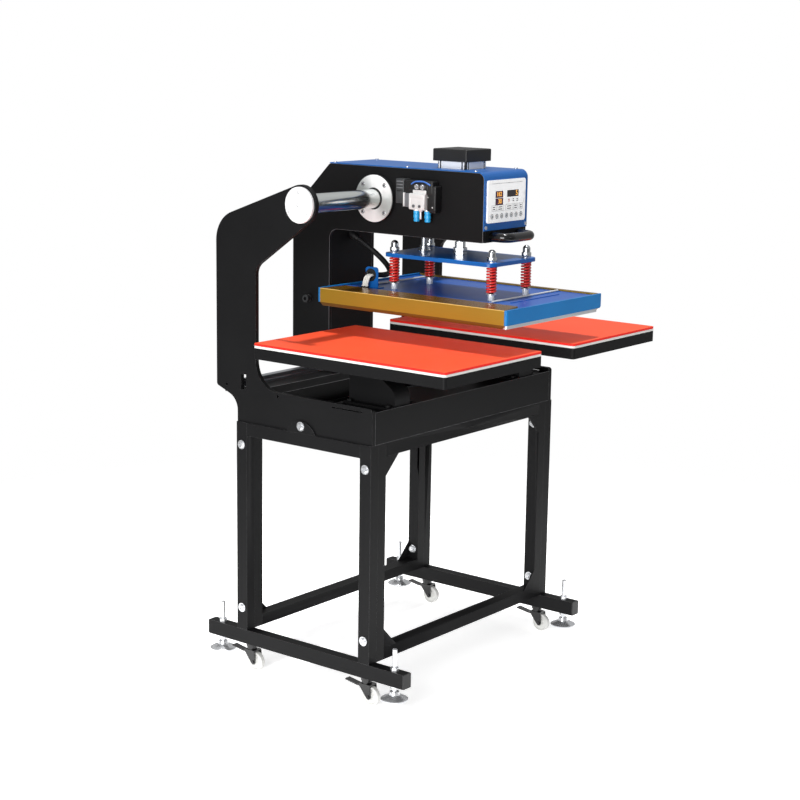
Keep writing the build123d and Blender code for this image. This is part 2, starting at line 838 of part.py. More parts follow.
def head_arm():
    face = outline((head_rear_y, column_foot_z), (head_rear_y, head_slope_z), (head_slope_y, head_top_z),
                   (head_front_y, head_top_z), (head_front_y, head_low_z), (column_front_y, head_low_z),
                   (column_front_y, column_foot_z))
    face = round_corners(face, head_corner_radius, (head_rear_y, head_slope_z), (head_slope_y, head_top_z))
    face = round_corners(face, cover_corner_radius, (head_front_y, head_top_z))
    face = round_corners(face, head_corner_radius / 3, (head_front_y, head_low_z))
    face = round_corners(face, column_inner_radius, (column_front_y, head_low_z))
    face -= Pos(shaft_y, shaft_z) * Circle(bearing_tube_radius)
    return side_sheet(face, arm_inner_x, arm_thickness)


def head_cover():
    # One folded sheet over the top and down the front of the head, cut away round the cylinder.
    out = cover_thickness
    low = head_low_z + cover_front_gap
    sheet = outline((head_slope_y, head_top_z + out), (head_front_y - out, head_top_z + out),
                    (head_front_y - out, low), (head_front_y, low), (head_front_y, head_top_z),
                    (head_slope_y, head_top_z))
    sheet = round_corners(sheet, cover_corner_radius + out, (head_front_y - out, head_top_z + out))
    sheet = round_corners(sheet, cover_corner_radius, (head_front_y, head_top_z))
    cover = side_sheet(sheet, -head_half, head_width)
    gap = cylinder_body / 2 + 1
    return cover - box(-gap, gap, press_y - gap, press_y + gap, head_top_z, head_top_z + out)


def head_webs():
    # The sheets and plates that tie the two arms together.
    t, half = web_thickness, arm_inner_x
    slant = t * math.tan(math.atan2(head_slope_depth, head_slope_height) / 2)
    rear = side_sheet(outline((head_rear_y, column_foot_z), (head_rear_y, head_slope_z),
                              (head_slope_y, head_top_z), (head_slope_y - t - slant, head_top_z),
                              (head_rear_y - t, head_slope_z - slant), (head_rear_y - t, column_foot_z)),
                      -half, 2 * half)
    for side in (-1, 1):
        rear -= inlet_hole(side)
    front = box(-half, half, column_front_y, column_front_y + t, column_foot_z, head_low_z)
    front -= gland_blank()
    mount = box(-half, half, press_y - mount_plate_front, guide_post_y + guide_post_radius + 2 * guide_bush_wall,
                mount_low_z, cylinder_low_z)
    mount -= rod((0, press_y, mount_low_z), (0, 0, 1), mount_plate_thickness, piston_rod_radius + rod_hole_clearance)
    mount -= rod((0, guide_post_y, mount_low_z), (0, 0, 1), mount_plate_thickness,
                 guide_post_radius + guide_bush_wall)
    nose = box(-half, half, head_front_y, head_front_y + t, head_low_z, head_low_z + 2 * cover_front_gap)
    foot = box(-half, half, column_front_y + t, head_rear_y - t, column_foot_z,
               column_foot_z + column_foot_thickness)
    return [rear, front, mount, nose, foot]


def shuttle_bearing():
    # A flanged housing with a flat turned face, the bush pressed into its tube and a wiper ring.
    bore = shaft_radius + running_clearance
    liner = bore + bearing_liner
    seal_low = bearing_height - bearing_seal
    housing = turned((liner, -bearing_tube_length), (bearing_tube_radius, -bearing_tube_length),
                     (bearing_tube_radius, 0), (bearing_flange_radius, 0),
                     (bearing_flange_radius, bearing_height - bearing_edge),
                     (bearing_flange_radius - bearing_edge, bearing_height), (liner, bearing_height))
    bush = turned((bore, -bearing_tube_length), (liner, -bearing_tube_length), (liner, seal_low), (bore, seal_low))
    seal = turned((bore, seal_low), (liner, seal_low), (liner, bearing_height), (bore, bearing_height))
    place = Pos(head_half, shaft_y, shaft_z) * Rot(0, 90, 0)
    housing = place * housing
    for y, z in bearing_screw_places():
        housing -= rod((bearing_screw_x, y, z), (1, 0, 0), bearing_screw_sink,
                       bearing_screw_radius + disc_screw_clearance)
    return [housing, place * bush, place * seal]


def bearing_screw_places():
    return around(shaft_y, shaft_z, bearing_screw_circle, 4, 45)


def bearing_screws():
    # Socket screws sunk in the flange, their heads just below its face.
    screws = []
    height = bearing_screw_sink - disc_screw_clearance
    for y, z in bearing_screw_places():
        screw = rod((bearing_screw_x, y, z), (1, 0, 0), height, bearing_screw_radius)
        screws.append(screw - hexagon((bearing_screw_x + height / 2, y, z), (1, 0, 0), height,
                                      bearing_screw_radius))
    return mirrored(*screws)


def cover_screws():
    x = head_half - cover_screw_inset
    top, front = head_top_z + cover_thickness, head_front_y - cover_thickness
    screws = [rod((x, y, top), (0, 0, 1), cover_screw_height, cover_screw_radius)
              for y in (head_slope_y - 2 * cover_screw_inset, press_y + cylinder_cap, press_y - cylinder_cap)]
    screws.append(rod((x, front, head_low_z + cover_front_gap + 8), (0, -1, 0), cover_screw_height,
                      cover_screw_radius))
    return mirrored(*screws)


def stop_screw():
    # An adjustable stop on the flank of the column: lock nut, pin and a wide head with a socket.
    y, z = column_front_y + stop_set_back, base_top_z + stop_rise
    head_x = head_half + stop_length - stop_head
    pin = rod((head_half, y, z), (1, 0, 0), stop_length - stop_head, stop_pin_radius)
    nut = hexagon((head_half, y, z), (1, 0, 0), stop_nut_height, stop_nut_flats)
    head = rod((head_x, y, z), (1, 0, 0), stop_head, stop_radius)
    head = fillet(head.edges(), stop_head / 4)
    return pin + nut + head - hexagon((head_x, y, z), (1, 0, 0), stop_head, stop_socket)


def inlet_place(side):
    return side * inlet_spacing / 2, column_foot_z + air_inlet_rise


def inlet_hole(side):
    x, z = inlet_place(side)
    return rod((x, head_rear_y - 2 * web_thickness, z), (0, 1, 0), 3 * web_thickness, inlet_body_radius)


def inlet(side):
    # A bulkhead fitting through the rear sheet, open at the back.
    x, z = inlet_place(side)
    start = head_rear_y - web_thickness
    body = rod((x, start, z), (0, 1, 0), web_thickness + inlet_length, inlet_body_radius)
    body += hexagon((x, head_rear_y, z), (0, 1, 0), inlet_body_radius, 3 * inlet_body_radius)
    mouth = head_rear_y + inlet_length - air_inlet_depth
    return body - rod((x, mouth, z), (0, 1, 0), air_inlet_depth, air_inlet_radius)


def gland_blank():
    # A tapered strain relief that points along the first run of the sleeve.
    tip, ahead = Vector(*conduit_route[0]), Vector(*conduit_route[1])
    wide = conduit_radius + gland_wall + gland_flare
    cone = turned((0, 0), (conduit_radius + gland_wall, 0), (wide, gland_taper), (wide, gland_length),
                  (0, gland_length))
    return Plane(tip, x_dir=(1, 0, 0), z_dir=(tip - ahead).normalized()) * cone


def guide_bush():
    # A bush through the mount plate, with its flange on top of the plate.
    outer = guide_post_radius + guide_bush_wall
    bore = guide_post_radius + running_clearance
    low, high = mount_plate_thickness, mount_plate_thickness + guide_bush_flange_thickness
    bush = turned((bore, 0), (outer, 0), (outer, low), (outer + guide_bush_flange, low),
                  (outer + guide_bush_flange, high), (outer, high), (outer, guide_bush_length),
                  (bore, guide_bush_length))
    return Pos(0, guide_post_y, mount_low_z) * bush


# Air cylinder

def air_cylinder():
    # A square profile tube with corner ribs, bored for the piston, and its screwed cap.
    half = cylinder_body / 2
    section = Pos(0, press_y) * RectangleRounded(cylinder_body, cylinder_body, cylinder_corner_radius)
    for offset in (-cylinder_groove_offset, cylinder_groove_offset):
        for side in (-1, 1):
            section -= Pos(offset, press_y + side * half) * Rectangle(cylinder_groove, 2 * cylinder_groove)
            section -= Pos(side * half, press_y + offset) * Rectangle(2 * cylinder_groove, cylinder_groove)
    body = extrude(Pos(0, 0, cylinder_low_z) * section, cylinder_length)
    bore_low_z = cylinder_low_z + cylinder_head_thickness
    body -= rod((0, press_y, bore_low_z), (0, 0, 1), bore_top_z - bore_low_z, cylinder_bore_radius)
    body -= rod((0, press_y, cylinder_low_z), (0, 0, 1), cylinder_head_thickness,
                piston_rod_radius + running_clearance)
    wide = cylinder_cap / 2
    cap = box(-wide, wide, press_y - wide, press_y + wide, cap_low_z, cap_low_z + cylinder_cap_height)
    cap = fillet(cap.edges().filter_by(Axis.Z), cylinder_corner_radius / 2)
    cap = chamfer(cap.faces().sort_by(Axis.Z)[-1].edges(), cylinder_corner_radius / 4)
    for x in (-cap_screw_offset, cap_screw_offset):
        for y in (-cap_screw_offset, cap_screw_offset):
            cap -= rod((x, press_y + y, cap_low_z + cylinder_cap_height - cap_screw_depth), (0, 0, 1),
                       cap_screw_depth, cap_screw_radius)
    return [body, cap]


# Head details

def control_panel():
    # A membrane plate with three sunk displays and a row of raised keys.
    y = head_front_y - cover_thickness - panel_plate
    low = head_low_z + cover_front_gap + panel_lift
    middle = low + panel_height / 2
    plate = front_sheet(Pos(panel_x, middle) * RectangleRounded(panel_width, panel_height, panel_corner_radius),
                        y, panel_plate)
    left_x, upper_z = panel_x + display_x, middle + display_height
    for x, z, width in ((left_x, upper_z, display_width), (left_x, middle - display_depth, display_width),
                        (panel_x + counter_x, upper_z, counter_width)):
        plate -= front_sheet(Pos(x, z) * Rectangle(width, display_height), y, display_depth)
    for k in range(key_count):
        x = panel_x + key_pitch * (k - (key_count - 1) / 2)
        plate += front_sheet(Pos(x, low + key_row) * Circle(key_radius), y - key_rise, key_rise)
    return plate


def head_handle():
    near, far = head_front_y, head_front_y - handle_reach
    half, z = handle_half_width, head_low_z + handle_rise
    path = FilletPolyline((-half, near, z), (-half, far, z), (half, far, z), (half, near, z), radius=handle_bend)
    return sweep(Plane((-half, near, z), z_dir=(0, -1, 0)) * Circle(handle_radius), path)


def solenoid_valve():
    # Valve body, twin coils above it, a connector in front, and its push-in fittings below.
    face_x = -head_half
    y0 = head_front_y + valve_front_gap
    y1 = y0 + valve_body_length
    low = shaft_z - valve_drop
    top = low + valve_body_height
    body = box(face_x - valve_depth, face_x, y0, y1, low, top)
    body = fillet(body.edges().filter_by(Axis.Z), 2)
    coil = box(face_x - valve_depth + 4, face_x, y0 - coil_overhang, y1 + coil_overhang, top, top + coil_height)
    coil = fillet(coil.edges().filter_by(Axis.X), 5)
    connector = box(face_x - valve_depth + 8, face_x, y0 - connector_length, y0, low + 4, low + 4 + connector_height)
    connector = fillet(connector.edges().filter_by(Axis.X), 4)
    manifold = box(face_x - valve_depth + 6, face_x, y1, y1 + connector_length, low + 2, top)
    valve = body + coil + connector + manifold
    pieces = [valve]
    middle = (y0 + y1) / 2
    for side in (-1, 1):
        y = middle + side * fitting_spacing / 2
        x = face_x - valve_depth / 2
        neck = rod((x, y, low), (0, 0, -1), fitting_length, fitting_radius - 2)
        sleeve = rod((x, y, low - 5), (0, 0, -1), fitting_length - 9, fitting_radius)
        fitting = neck + sleeve - rod((x, y, low - fitting_length), (0, 0, 1), fitting_length / 2, fitting_bore_radius)
        pieces.append(fitting)
    pieces.append(rod((face_x - valve_depth / 2, middle, low), (0, 0, -1), fitting_length / 2, fitting_radius / 2))
    return pieces


# Pressure plate and its rods

def stud_rows():
    return [press_y - stud_reach, press_y + stud_reach]


def stud_places():
    return [(x, y) for x in (-stud_x, stud_x) for y in stud_rows()]


def pressure_plate():
    face = Pos(0, press_y) * RectangleRounded(plate_width, plate_depth, plate_corner_radius)
    for x, y in stud_places():
        face -= Pos(x, y) * Circle(stud_radius + stud_hole_clearance)
    face -= Pos(0, press_y) * Circle(piston_rod_radius)
    face -= Pos(0, guide_post_y) * Circle(guide_post_radius)
    plate = extrude(Pos(0, 0, plate_low_z) * face, plate_thickness)
    return fillet(plate.faces().sort_by(Axis.Z)[-1].outer_wire().edges(), plate_edge_radius)


def press_rods():
    # The piston with its rod and nuts, and the guide post with its flange and nut.
    piston_top_z = bore_top_z - rod_hole_clearance
    piston = rod((0, press_y, plate_low_z - rod_tail), (0, 0, 1), piston_top_z - plate_low_z + rod_tail,
                 piston_rod_radius)
    piston += rod((0, press_y, piston_top_z - piston_thickness), (0, 0, 1), piston_thickness,
                  cylinder_bore_radius - running_clearance)
    for z in (plate_top_z, plate_top_z + rod_nut_height + 1):
        piston += hexagon((0, press_y, z), (0, 0, 1), rod_nut_height, rod_nut_flats)
    piston += hexagon((0, press_y, plate_top_z), (0, 0, 1), 2 * rod_nut_height + 1 + rod_lock_height, rod_lock_flats)
    piston += hexagon((0, press_y, plate_low_z), (0, 0, -1), rod_tail - 1, rod_nut_flats)
    post = rod((0, guide_post_y, plate_low_z - rod_tail), (0, 0, 1),
               cylinder_low_z + guide_post_engagement - plate_low_z + rod_tail, guide_post_radius)
    post += rod((0, guide_post_y, plate_top_z), (0, 0, 1), guide_flange_thickness, guide_flange_radius)
    post += rod((0, guide_post_y, plate_top_z), (0, 0, 1), guide_collar_height, guide_collar_radius)
    post += hexagon((0, guide_post_y, plate_low_z), (0, 0, -1), rod_tail - 1, rod_lock_flats)
    return [piston, post]


# Studs and springs

def spring_stud(x, y):
    # Spacer, spring seat, stud through the plate, washer and dome nut.
    seat_low = deck_z + standoff_height
    washer_low = plate_top_z + nut_gap
    nut_low = washer_low + seat_thickness
    dome_low = nut_low + dome_nut_height
    stud = hexagon((x, y, deck_z), (0, 0, 1), standoff_height, standoff_flats)
    stud += rod((x, y, seat_low), (0, 0, 1), seat_thickness, seat_radius)
    stud += rod((x, y, seat_low), (0, 0, 1), dome_low - seat_low, stud_radius)
    stud += rod((x, y, washer_low), (0, 0, 1), seat_thickness, dome_washer_radius)
    stud += hexagon((x, y, nut_low), (0, 0, 1), dome_nut_height, dome_nut_flats)
    dome = rod((x, y, dome_low), (0, 0, 1), dome_height, dome_nut_flats / 2 - 0.6)
    return stud + fillet(dome.faces().sort_by(Axis.Z)[-1].edges(), dome_nut_flats / 2 - 2)


def spring_closed_rise():
    return spring_wire + spring_closed_gap


def spring_pitch():
    rise = spring_length - spring_wire - 2 * spring_seat_gap
    return (rise - 2 * spring_closed_rise()) / (spring_turns - 2)


def spring_rise(turn):
    # Height of the wire's centre line, with a closed coil at each end.
    low = spring_bottom_z + spring_wire / 2 + spring_seat_gap
    high = plate_low_z - spring_wire / 2 - spring_seat_gap
    closed = spring_closed_rise()
    if turn <= 1:
        return low + closed * turn
    if turn <= spring_turns - 1:
        return low + closed + spring_pitch() * (turn - 1)
    return high - closed * (spring_turns - turn)


def spring_point(turn):
    radius = spring_outer_radius - spring_wire / 2
    angle = 2 * math.pi * turn
    return Vector(radius * math.cos(angle), radius * math.sin(angle), spring_rise(turn))


def spring_tangent(turn):
    # The slope is halfway between both where a closed coil meets the open ones.
    closed, pitch = spring_closed_rise(), spring_pitch()
    if 1 < turn < spring_turns - 1:
        rise = pitch
    elif turn < 1 or turn > spring_turns - 1:
        rise = closed
    else:
        rise = (closed + pitch) / 2
    around_speed = 2 * math.pi * (spring_outer_radius - spring_wire / 2)
    angle = 2 * math.pi * turn
    return Vector(-around_speed * math.sin(angle), around_speed * math.cos(angle), rise).normalized()


def spring_path():
    # Half turns, each made of two arcs that meet on one tangent.
    arcs = []
    count = round(spring_turns * 2)
    marks = [spring_turns * k / count for k in range(count + 1)]
    for first, last in zip(marks, marks[1:]):
        p0, p1 = spring_point(first), spring_point(last)
        t0, t1 = spring_tangent(first), spring_tangent(last)
        span, sum_way = p1 - p0, t0 + t1
        spread = 2 * (1 - t0.dot(t1))
        along = span.dot(sum_way)
        reach = (math.sqrt(along ** 2 + spread * span.dot(span)) - along) / spread
        q0, q1 = p0 + t0 * reach, p1 - t1 * reach
        middle = (q0 + q1) * 0.5
        arcs.append(TangentArc(p0, middle, tangent=t0))
        arcs.append(TangentArc(middle, p1, tangent=(q1 - q0).normalized()))
    return Wire(arcs)


def spring_gap():
    # Least clear distance from the wire to its own next turn, on points along the centre line.
    steps = 48
    points = [spring_point(k / steps) for k in range(int(spring_turns * steps) + 1)]
    least = spring_outer_radius
    for k in range(len(points) - steps // 2):
        for m in range(k + steps // 2, min(k + 2 * steps, len(points))):
            least = min(least, (points[m] - points[k]).length - spring_wire)
    return least


def springs():
    section = Plane(spring_point(0), z_dir=spring_tangent(0)) * Circle(spring_wire / 2)
    coil = sweep(section, spring_path())
    return [Pos(x, y, 0) * coil for x, y in stud_places()]


# Heat platen

def heater():
    # The cast heating plate and the lagging that fills the cover above it.
    half = platen_width / 2 - heater_side_inset
    reach = platen_depth / 2 - heater_inset
    top = heater_low_z + heater_thickness
    plate = box(-half, half, press_y - reach, press_y + reach, heater_low_z, top)
    plate = fillet(plate.edges().filter_by(Axis.Z), heater_corner_radius)
    lagging = box(-half, half, press_y - reach, press_y + reach, top, deck_z - platen_sheet)
    return [plate, lagging]


def side_rail(ledge):
    # An outer wall with a ledge folded in along the top and a hem bent in below, drawn for the left side.
    t = platen_sheet
    left = -platen_width / 2
    reach = platen_depth / 2 - cap_depth
    section = outline((0, 0), (0, platen_height), (ledge, platen_height), (ledge, platen_height - deck_drop),
                      (t, platen_height - deck_drop), (t, 0), (t + hem_turn, -hem_drop), (hem_turn, -hem_drop))
    section = round_corners(section, cap_edge_radius, (0, platen_height))
    rail = front_sheet(Pos(left, platen_bottom_z) * section, press_y - reach, 2 * reach)
    for way in (-1, 1):
        end = press_y + way * reach
        slant = outline((left + t, end), (left + ledge, end), (left + ledge, end - way * ledge_slant))
        rail -= extrude(Pos(0, 0, deck_z) * slant, deck_drop)
        low = platen_bottom_z - hem_drop
        cut = outline((end, platen_bottom_z), (end, low), (end - way * hem_cut, low))
        rail -= side_sheet(cut, left, t + hem_turn)
    return rail


def platen_side_rails():
    return [side_rail(left_ledge), mirror(side_rail(right_ledge), about=Plane.YZ)]


def end_cap(way):
    # A shallow pan over one end of the platen, its corners bent round, open below and inwards.
    half, t = platen_width / 2, platen_sheet
    face_y = press_y + way * platen_depth / 2
    near, far = sorted((face_y, face_y - way * cap_depth))
    cap = box(-half, half, near, far, platen_bottom_z, platen_top_z)
    bends = cap.edges().filter_by(Axis.Z).group_by(Axis.Y)[0 if way < 0 else -1]
    cap = fillet(bends, cap_bend_radius)
    near, far = sorted((face_y - way * t, face_y - way * cap_depth))
    return cap - box(-half + t, half - t, near, far, platen_bottom_z, platen_top_z - t)


def platen_cover():
    # The deck sheet with a cap at each end; the front cap loses one lower corner.
    half, reach, t = platen_width / 2, platen_depth / 2, platen_sheet
    deck = box(-half + t, half - t, press_y - reach + t, press_y + reach - t, deck_z - t, deck_z)
    corner = outline((half, platen_bottom_z), (half, platen_bottom_z + cap_corner_cut),
                     (half - cap_corner_cut, platen_bottom_z))
    cover = deck + end_cap(-1) + end_cap(1) - front_sheet(corner, press_y - reach, cap_depth)
    rib_y = press_y - reach + deck_rib_front
    cover += box(deck_left_x + deck_rib_inset, deck_right_x - deck_rib_inset, rib_y - deck_rib_width / 2,
                 rib_y + deck_rib_width / 2, deck_z, deck_z + deck_rib_height)
    for x, y in lead_ends():
        cover -= rod((x, y, deck_z - t), (0, 0, 1), t, lead_radius)
    return cover


def tie_bars():
    left, right = deck_left_x + tie_bar_left_inset, deck_right_x - tie_bar_right_inset
    return [rod((left, press_y + y, deck_z + tie_bar_radius), (1, 0, 0), right - left, tie_bar_radius)
            for y in (tie_bar_rear, -tie_bar_front)]


def conduit_bracket():
    # A folded tab with a large hole, the grommet snapped into it and the one on the deck.
    t = tab_thickness
    face = Pos(tab_y, deck_z + tab_height / 2) * Rectangle(tab_width, tab_height)
    corners = [(tab_y + side * tab_width / 2, deck_z + tab_height) for side in (-1, 1)]
    face = round_corners(face, tab_corner_radius, *corners)
    face -= Pos(tab_hole_y, tab_hole_z) * Circle(tab_hole_radius)
    tab = side_sheet(face, tab_x, t)
    tab += box(tab_x, tab_x + tab_foot, tab_y - tab_width / 2, tab_y + tab_width / 2, deck_z, deck_z + t)
    lip, back = tab_hole_radius + grommet_lip, t + grommet_lip
    edge = grommet_lip / 3
    grommet = turned((grommet_bore_radius, -grommet_lip), (lip - edge, -grommet_lip), (lip, edge - grommet_lip),
                     (lip, 0), (tab_hole_radius, 0), (tab_hole_radius, t), (lip, t), (lip, back - edge),
                     (lip - edge, back), (grommet_neck_radius, back), (grommet_neck_radius, back - grommet_wall),
                     (grommet_bore_radius, back - grommet_wall))
    return [tab, Pos(tab_x, tab_hole_y, tab_hole_z) * Rot(0, 90, 0) * grommet, deck_grommet()]


def deck_grommet():
    # A rubber block round the three leads where they enter the deck.
    ends = lead_ends()
    width = 2 * (lead_radius + deck_grommet_wall)
    length = ends[-1][1] - ends[0][1] + width
    block = Pos(ends[1][0], ends[1][1], deck_z) * RectangleRounded(width, length, width / 2 - lead_gap)
    block = extrude(block, deck_grommet_height)
    for x, y in ends:
        block -= rod((x, y, deck_z), (0, 0, 1), deck_grommet_height, lead_radius)
    return block


def lead_rows():
    # Offsets of the three leads from the middle one.
    return [k * (2 * lead_radius + lead_gap) for k in (-1, 0, 1)]


def lead_ends():
    return [(tab_x - lead_reach, tab_hole_y + lead_shift + row) for row in lead_rows()]


def heater_leads():
    # Three braided leads, side by side, that bend down out of the grommet and into the deck.
    leads = []
    start_x = tab_x + tab_thickness + grommet_lip - grommet_wall
    for row, (end_x, end_y) in zip(lead_rows(), lead_ends()):
        y = tab_hole_y + row
        start = (start_x, y, tab_hole_z)
        route = [start, (end_x, y, tab_hole_z), (end_x, end_y, deck_z + 2 * deck_grommet_height),
                 (end_x, end_y, deck_z - platen_sheet)]
        path = FilletPolyline(*route, radius=lead_bend)
        leads.append(sweep(Plane(start, z_dir=(-1, 0, 0)) * Circle(lead_radius), path))
    return leads


# Sleeve between head and platen

def conduit_radii():
    points = [Vector(*point) for point in conduit_route]
    radii = []
    for before, here, after in zip(points, points[1:], points[2:]):
        turn = math.radians((here - before).get_angle(after - here))
        shorter = min((here - before).length, (after - here).length)
        radii.append(0.45 * shorter / math.tan(turn / 2))
    return radii


def conduit():
    radii = conduit_radii()
    path = FilletPolyline(*conduit_route, radius=radii)
    start = Vector(*conduit_route[0])
    tube = sweep(Plane(start, z_dir=Vector(*conduit_route[1]) - start) * Circle(conduit_radius), path)
    print("conduit radii", [round(radius) for radius in radii], "length", round(path.length, 1))
    print("conduit volume over section times length",
          round(tube.volume / (math.pi * conduit_radius ** 2 * path.length), 4))
    return tube


os.makedirs("parts", exist_ok=True)

right_frame = side_frame()
save("side_frame_right", *right_frame)
save("side_frame_left", *[mirror(piece, about=Plane.YZ) for piece in right_frame])
save("front_frame", *cross_frame(leg_centres()[0], -1))
save("rear_frame", *cross_frame(leg_centres()[1], 1))
save("stand_fasteners", *stand_bolts(), *foot_nuts())
save("skid_end_caps", *skid_end_caps())
save("caster_plates", *[caster_plate(x, y) for x, y in caster_places().values()])

for name, (x, y) in caster_places().items():
    foot_y = foot_places()[0] if name.startswith("front") else foot_places()[1]
    save("caster_fork_" + name, caster_fork(x, y))
    save("caster_wheel_" + name, caster_wheel(x, y))
    save("caster_pedal_" + name, caster_pedal(x, y))
    save("foot_pad_" + name, foot_pad(x, foot_y))
    save("foot_stud_" + name, foot_stud(x, foot_y))

plate_right, plate_left = mirrored(side_plate())
save("side_plate_right", plate_right)
save("side_plate_left", plate_left)
save("base_frame", *base_frame())
save("shuttle_shaft", rod((-side_outer_x, shaft_y, shaft_z), (1, 0, 0), 2 * side_outer_x, shaft_radius))
save("shaft_end_discs", *mirrored(shaft_disc()))
save("guide_rail", guide_rail())

save("table_frames", *mirrored(table_frame()))
save("table_boards", *mirrored(table_block(frame_top_z, board_top_z, 0)))
save("table_mats", *mirrored(table_block(board_top_z, mat_top_z, 0)))
save("table_brackets", *mirrored(table_bracket()))

arm_right, arm_left = mirrored(head_arm())
save("head_arm_right", arm_right)
save("head_arm_left", arm_left)
save("head_cover", head_cover())
save("head_webs", *head_webs())
save("shuttle_bearings", *mirrored(*shuttle_bearing()))
save("head_screws", *bearing_screws(), *cover_screws())
save("head_carriage", *carriage_blocks())
save("head_fittings", gland_blank(), guide_bush(), inlet(-1), inlet(1), *mirrored(stop_screw()))
save("air_cylinder", *air_cylinder())
save("control_panel", control_panel())
save("head_handle", head_handle())
save("solenoid_valve", *solenoid_valve())

save("pressure_plate", pressure_plate())
save("press_rods", *press_rods())
save("heating_plate", *heater())
save("platen_side_rails", *platen_side_rails())
save("platen_cover", platen_cover())
save("spring_studs", *[spring_stud(x, y) for x, y in stud_places()], *tie_bars())
save("springs", *springs())
save("conduit_bracket", *conduit_bracket())
save("heater_leads", *heater_leads())
save("conduit", conduit())
print("spring self gap", round(spring_gap(), 2), "over", spring_turns, "turns")
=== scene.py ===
import math
from types import SimpleNamespace

import bmesh
import bpy
from mathutils import Matrix, Vector
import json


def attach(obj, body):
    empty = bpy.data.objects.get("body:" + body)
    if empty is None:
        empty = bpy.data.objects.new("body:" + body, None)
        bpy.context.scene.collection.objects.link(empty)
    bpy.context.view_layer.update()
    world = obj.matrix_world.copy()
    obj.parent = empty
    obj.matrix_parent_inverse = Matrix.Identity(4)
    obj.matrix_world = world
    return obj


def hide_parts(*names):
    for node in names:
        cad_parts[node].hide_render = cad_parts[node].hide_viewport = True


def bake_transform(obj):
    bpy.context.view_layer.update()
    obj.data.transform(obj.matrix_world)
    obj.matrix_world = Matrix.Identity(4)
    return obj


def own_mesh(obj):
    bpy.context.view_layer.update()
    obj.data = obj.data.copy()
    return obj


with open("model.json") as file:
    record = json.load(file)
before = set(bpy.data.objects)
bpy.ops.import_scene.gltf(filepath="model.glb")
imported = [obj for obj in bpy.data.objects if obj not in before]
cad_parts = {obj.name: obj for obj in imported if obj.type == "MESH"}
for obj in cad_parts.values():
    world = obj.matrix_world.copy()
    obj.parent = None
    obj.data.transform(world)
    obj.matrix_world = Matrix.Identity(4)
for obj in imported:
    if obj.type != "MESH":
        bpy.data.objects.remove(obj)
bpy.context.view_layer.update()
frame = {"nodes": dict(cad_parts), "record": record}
nodes = frame["nodes"]
mm = 0.001
print("frame loaded:", len(nodes), "nodes")


# Camera

camera = {"place": (-3.6508, -2.7871, 1.6327), "heading": 0.904374, "pitch": 0.198528,
          "roll": 0.014767, "focal": 1759.63, "imageSize": 800, "sensor": 36, "farthest": 60}


def makeCamera():
    data = bpy.data.cameras.new("camera")
    data.sensor_width = camera["sensor"]
    data.lens = camera["focal"] / camera["imageSize"] * camera["sensor"]
    data.clip_end = camera["farthest"]
    eye = bpy.data.objects.new("camera", data)
    bpy.context.scene.collection.objects.link(eye)
    heading, pitch, roll = camera["heading"], camera["pitch"], camera["roll"]
    flat = math.cos(pitch)
    ahead = Vector((math.sin(heading) * flat, math.cos(heading) * flat, -math.sin(pitch)))
    level = Vector((math.cos(heading), -math.sin(heading), 0))
    above = level.cross(ahead)
    right = level * math.cos(roll) + above * math.sin(roll)
    up = above * math.cos(roll) - level * math.sin(roll)
    turn = Matrix((right, up, -ahead)).transposed().to_4x4()
    eye.matrix_world = Matrix.Translation(camera["place"]) @ turn
    bpy.context.scene.camera = eye


makeCamera()
bpy.context.scene.view_settings.view_transform = "Standard"
print("camera placed")


# Shader tools

def tint(code):
    # a colour as it looks on screen, made linear
    parts = [int(code[k:k + 2], 16) / 255 for k in (1, 3, 5)]
    return tuple(p / 12.92 if p <= 0.04045 else ((p + 0.055) / 1.055) ** 2.4 for p in parts) + (1.0,)


class Signal:
    def __init__(self, finish, socket):
        self.finish = finish
        self.socket = socket

    def maths(self, operation, first, second=0.0):
        return self.finish.node("Math", {"operation": operation}, {0: first, 1: second})

    def __add__(self, other):
        return self.maths("ADD", self, other)

    def __sub__(self, other):
        return self.maths("SUBTRACT", self, other)

    def __mul__(self, other):
        return self.maths("MULTIPLY", self, other)

    def wave(self):
        return self.maths("COSINE", self)


class Finish:
    def __init__(self, name):
        self.material = bpy.data.materials.new(name)
        self.material.use_nodes = True
        self.tree = self.material.node_tree
        self.shader = self.tree.nodes["Principled BSDF"]

    def feed(self, socket, value):
        if isinstance(value, Signal):
            self.tree.links.new(value.socket, socket)
        else:
            socket.default_value = value

    def node(self, kind, settings=None, sockets=None, out=0):
        made = self.tree.nodes.new("ShaderNode" + kind)
        for name, value in (settings or {}).items():
            if name == "stops":
                for k, (place, shade) in enumerate(value):
                    mark = made.color_ramp.elements[k] if k < 2 else made.color_ramp.elements.new(place)
                    mark.position = place
                    mark.color = (shade, shade, shade, 1)
            else:
                setattr(made, name, value)
        for name, value in (sockets or {}).items():
            self.feed(made.inputs[name], value)
        return Signal(self, made.outputs[out])

    def place(self, stretch=(1, 1, 1)):
        where = self.node("TexCoord", out="Object")
        if stretch == (1, 1, 1):
            return where
        return self.node("Mapping", sockets={"Vector": where, "Scale": stretch})

    def noise(self, where, scale, detail=2.0, rough=0.5):
        return self.node("TexNoise", sockets={"Vector": where, "Scale": scale, "Detail": detail,
                                              "Roughness": rough})

    def ramp(self, value, *stops):
        return self.node("ValToRGB", {"stops": stops}, {"Fac": value})

    def mix(self, first, second, share):
        return self.node("Mix", {"data_type": "RGBA"}, {0: share, 6: first, 7: second}, out=2)

    def bump(self, height, strength, distance):
        return self.node("Bump", sockets={"Height": height, "Strength": strength, "Distance": distance})

    def surface(self, **sockets):
        for name, value in sockets.items():
            self.feed(self.shader.inputs[name.replace("_", " ")], value)
        return self.material


# Finishes

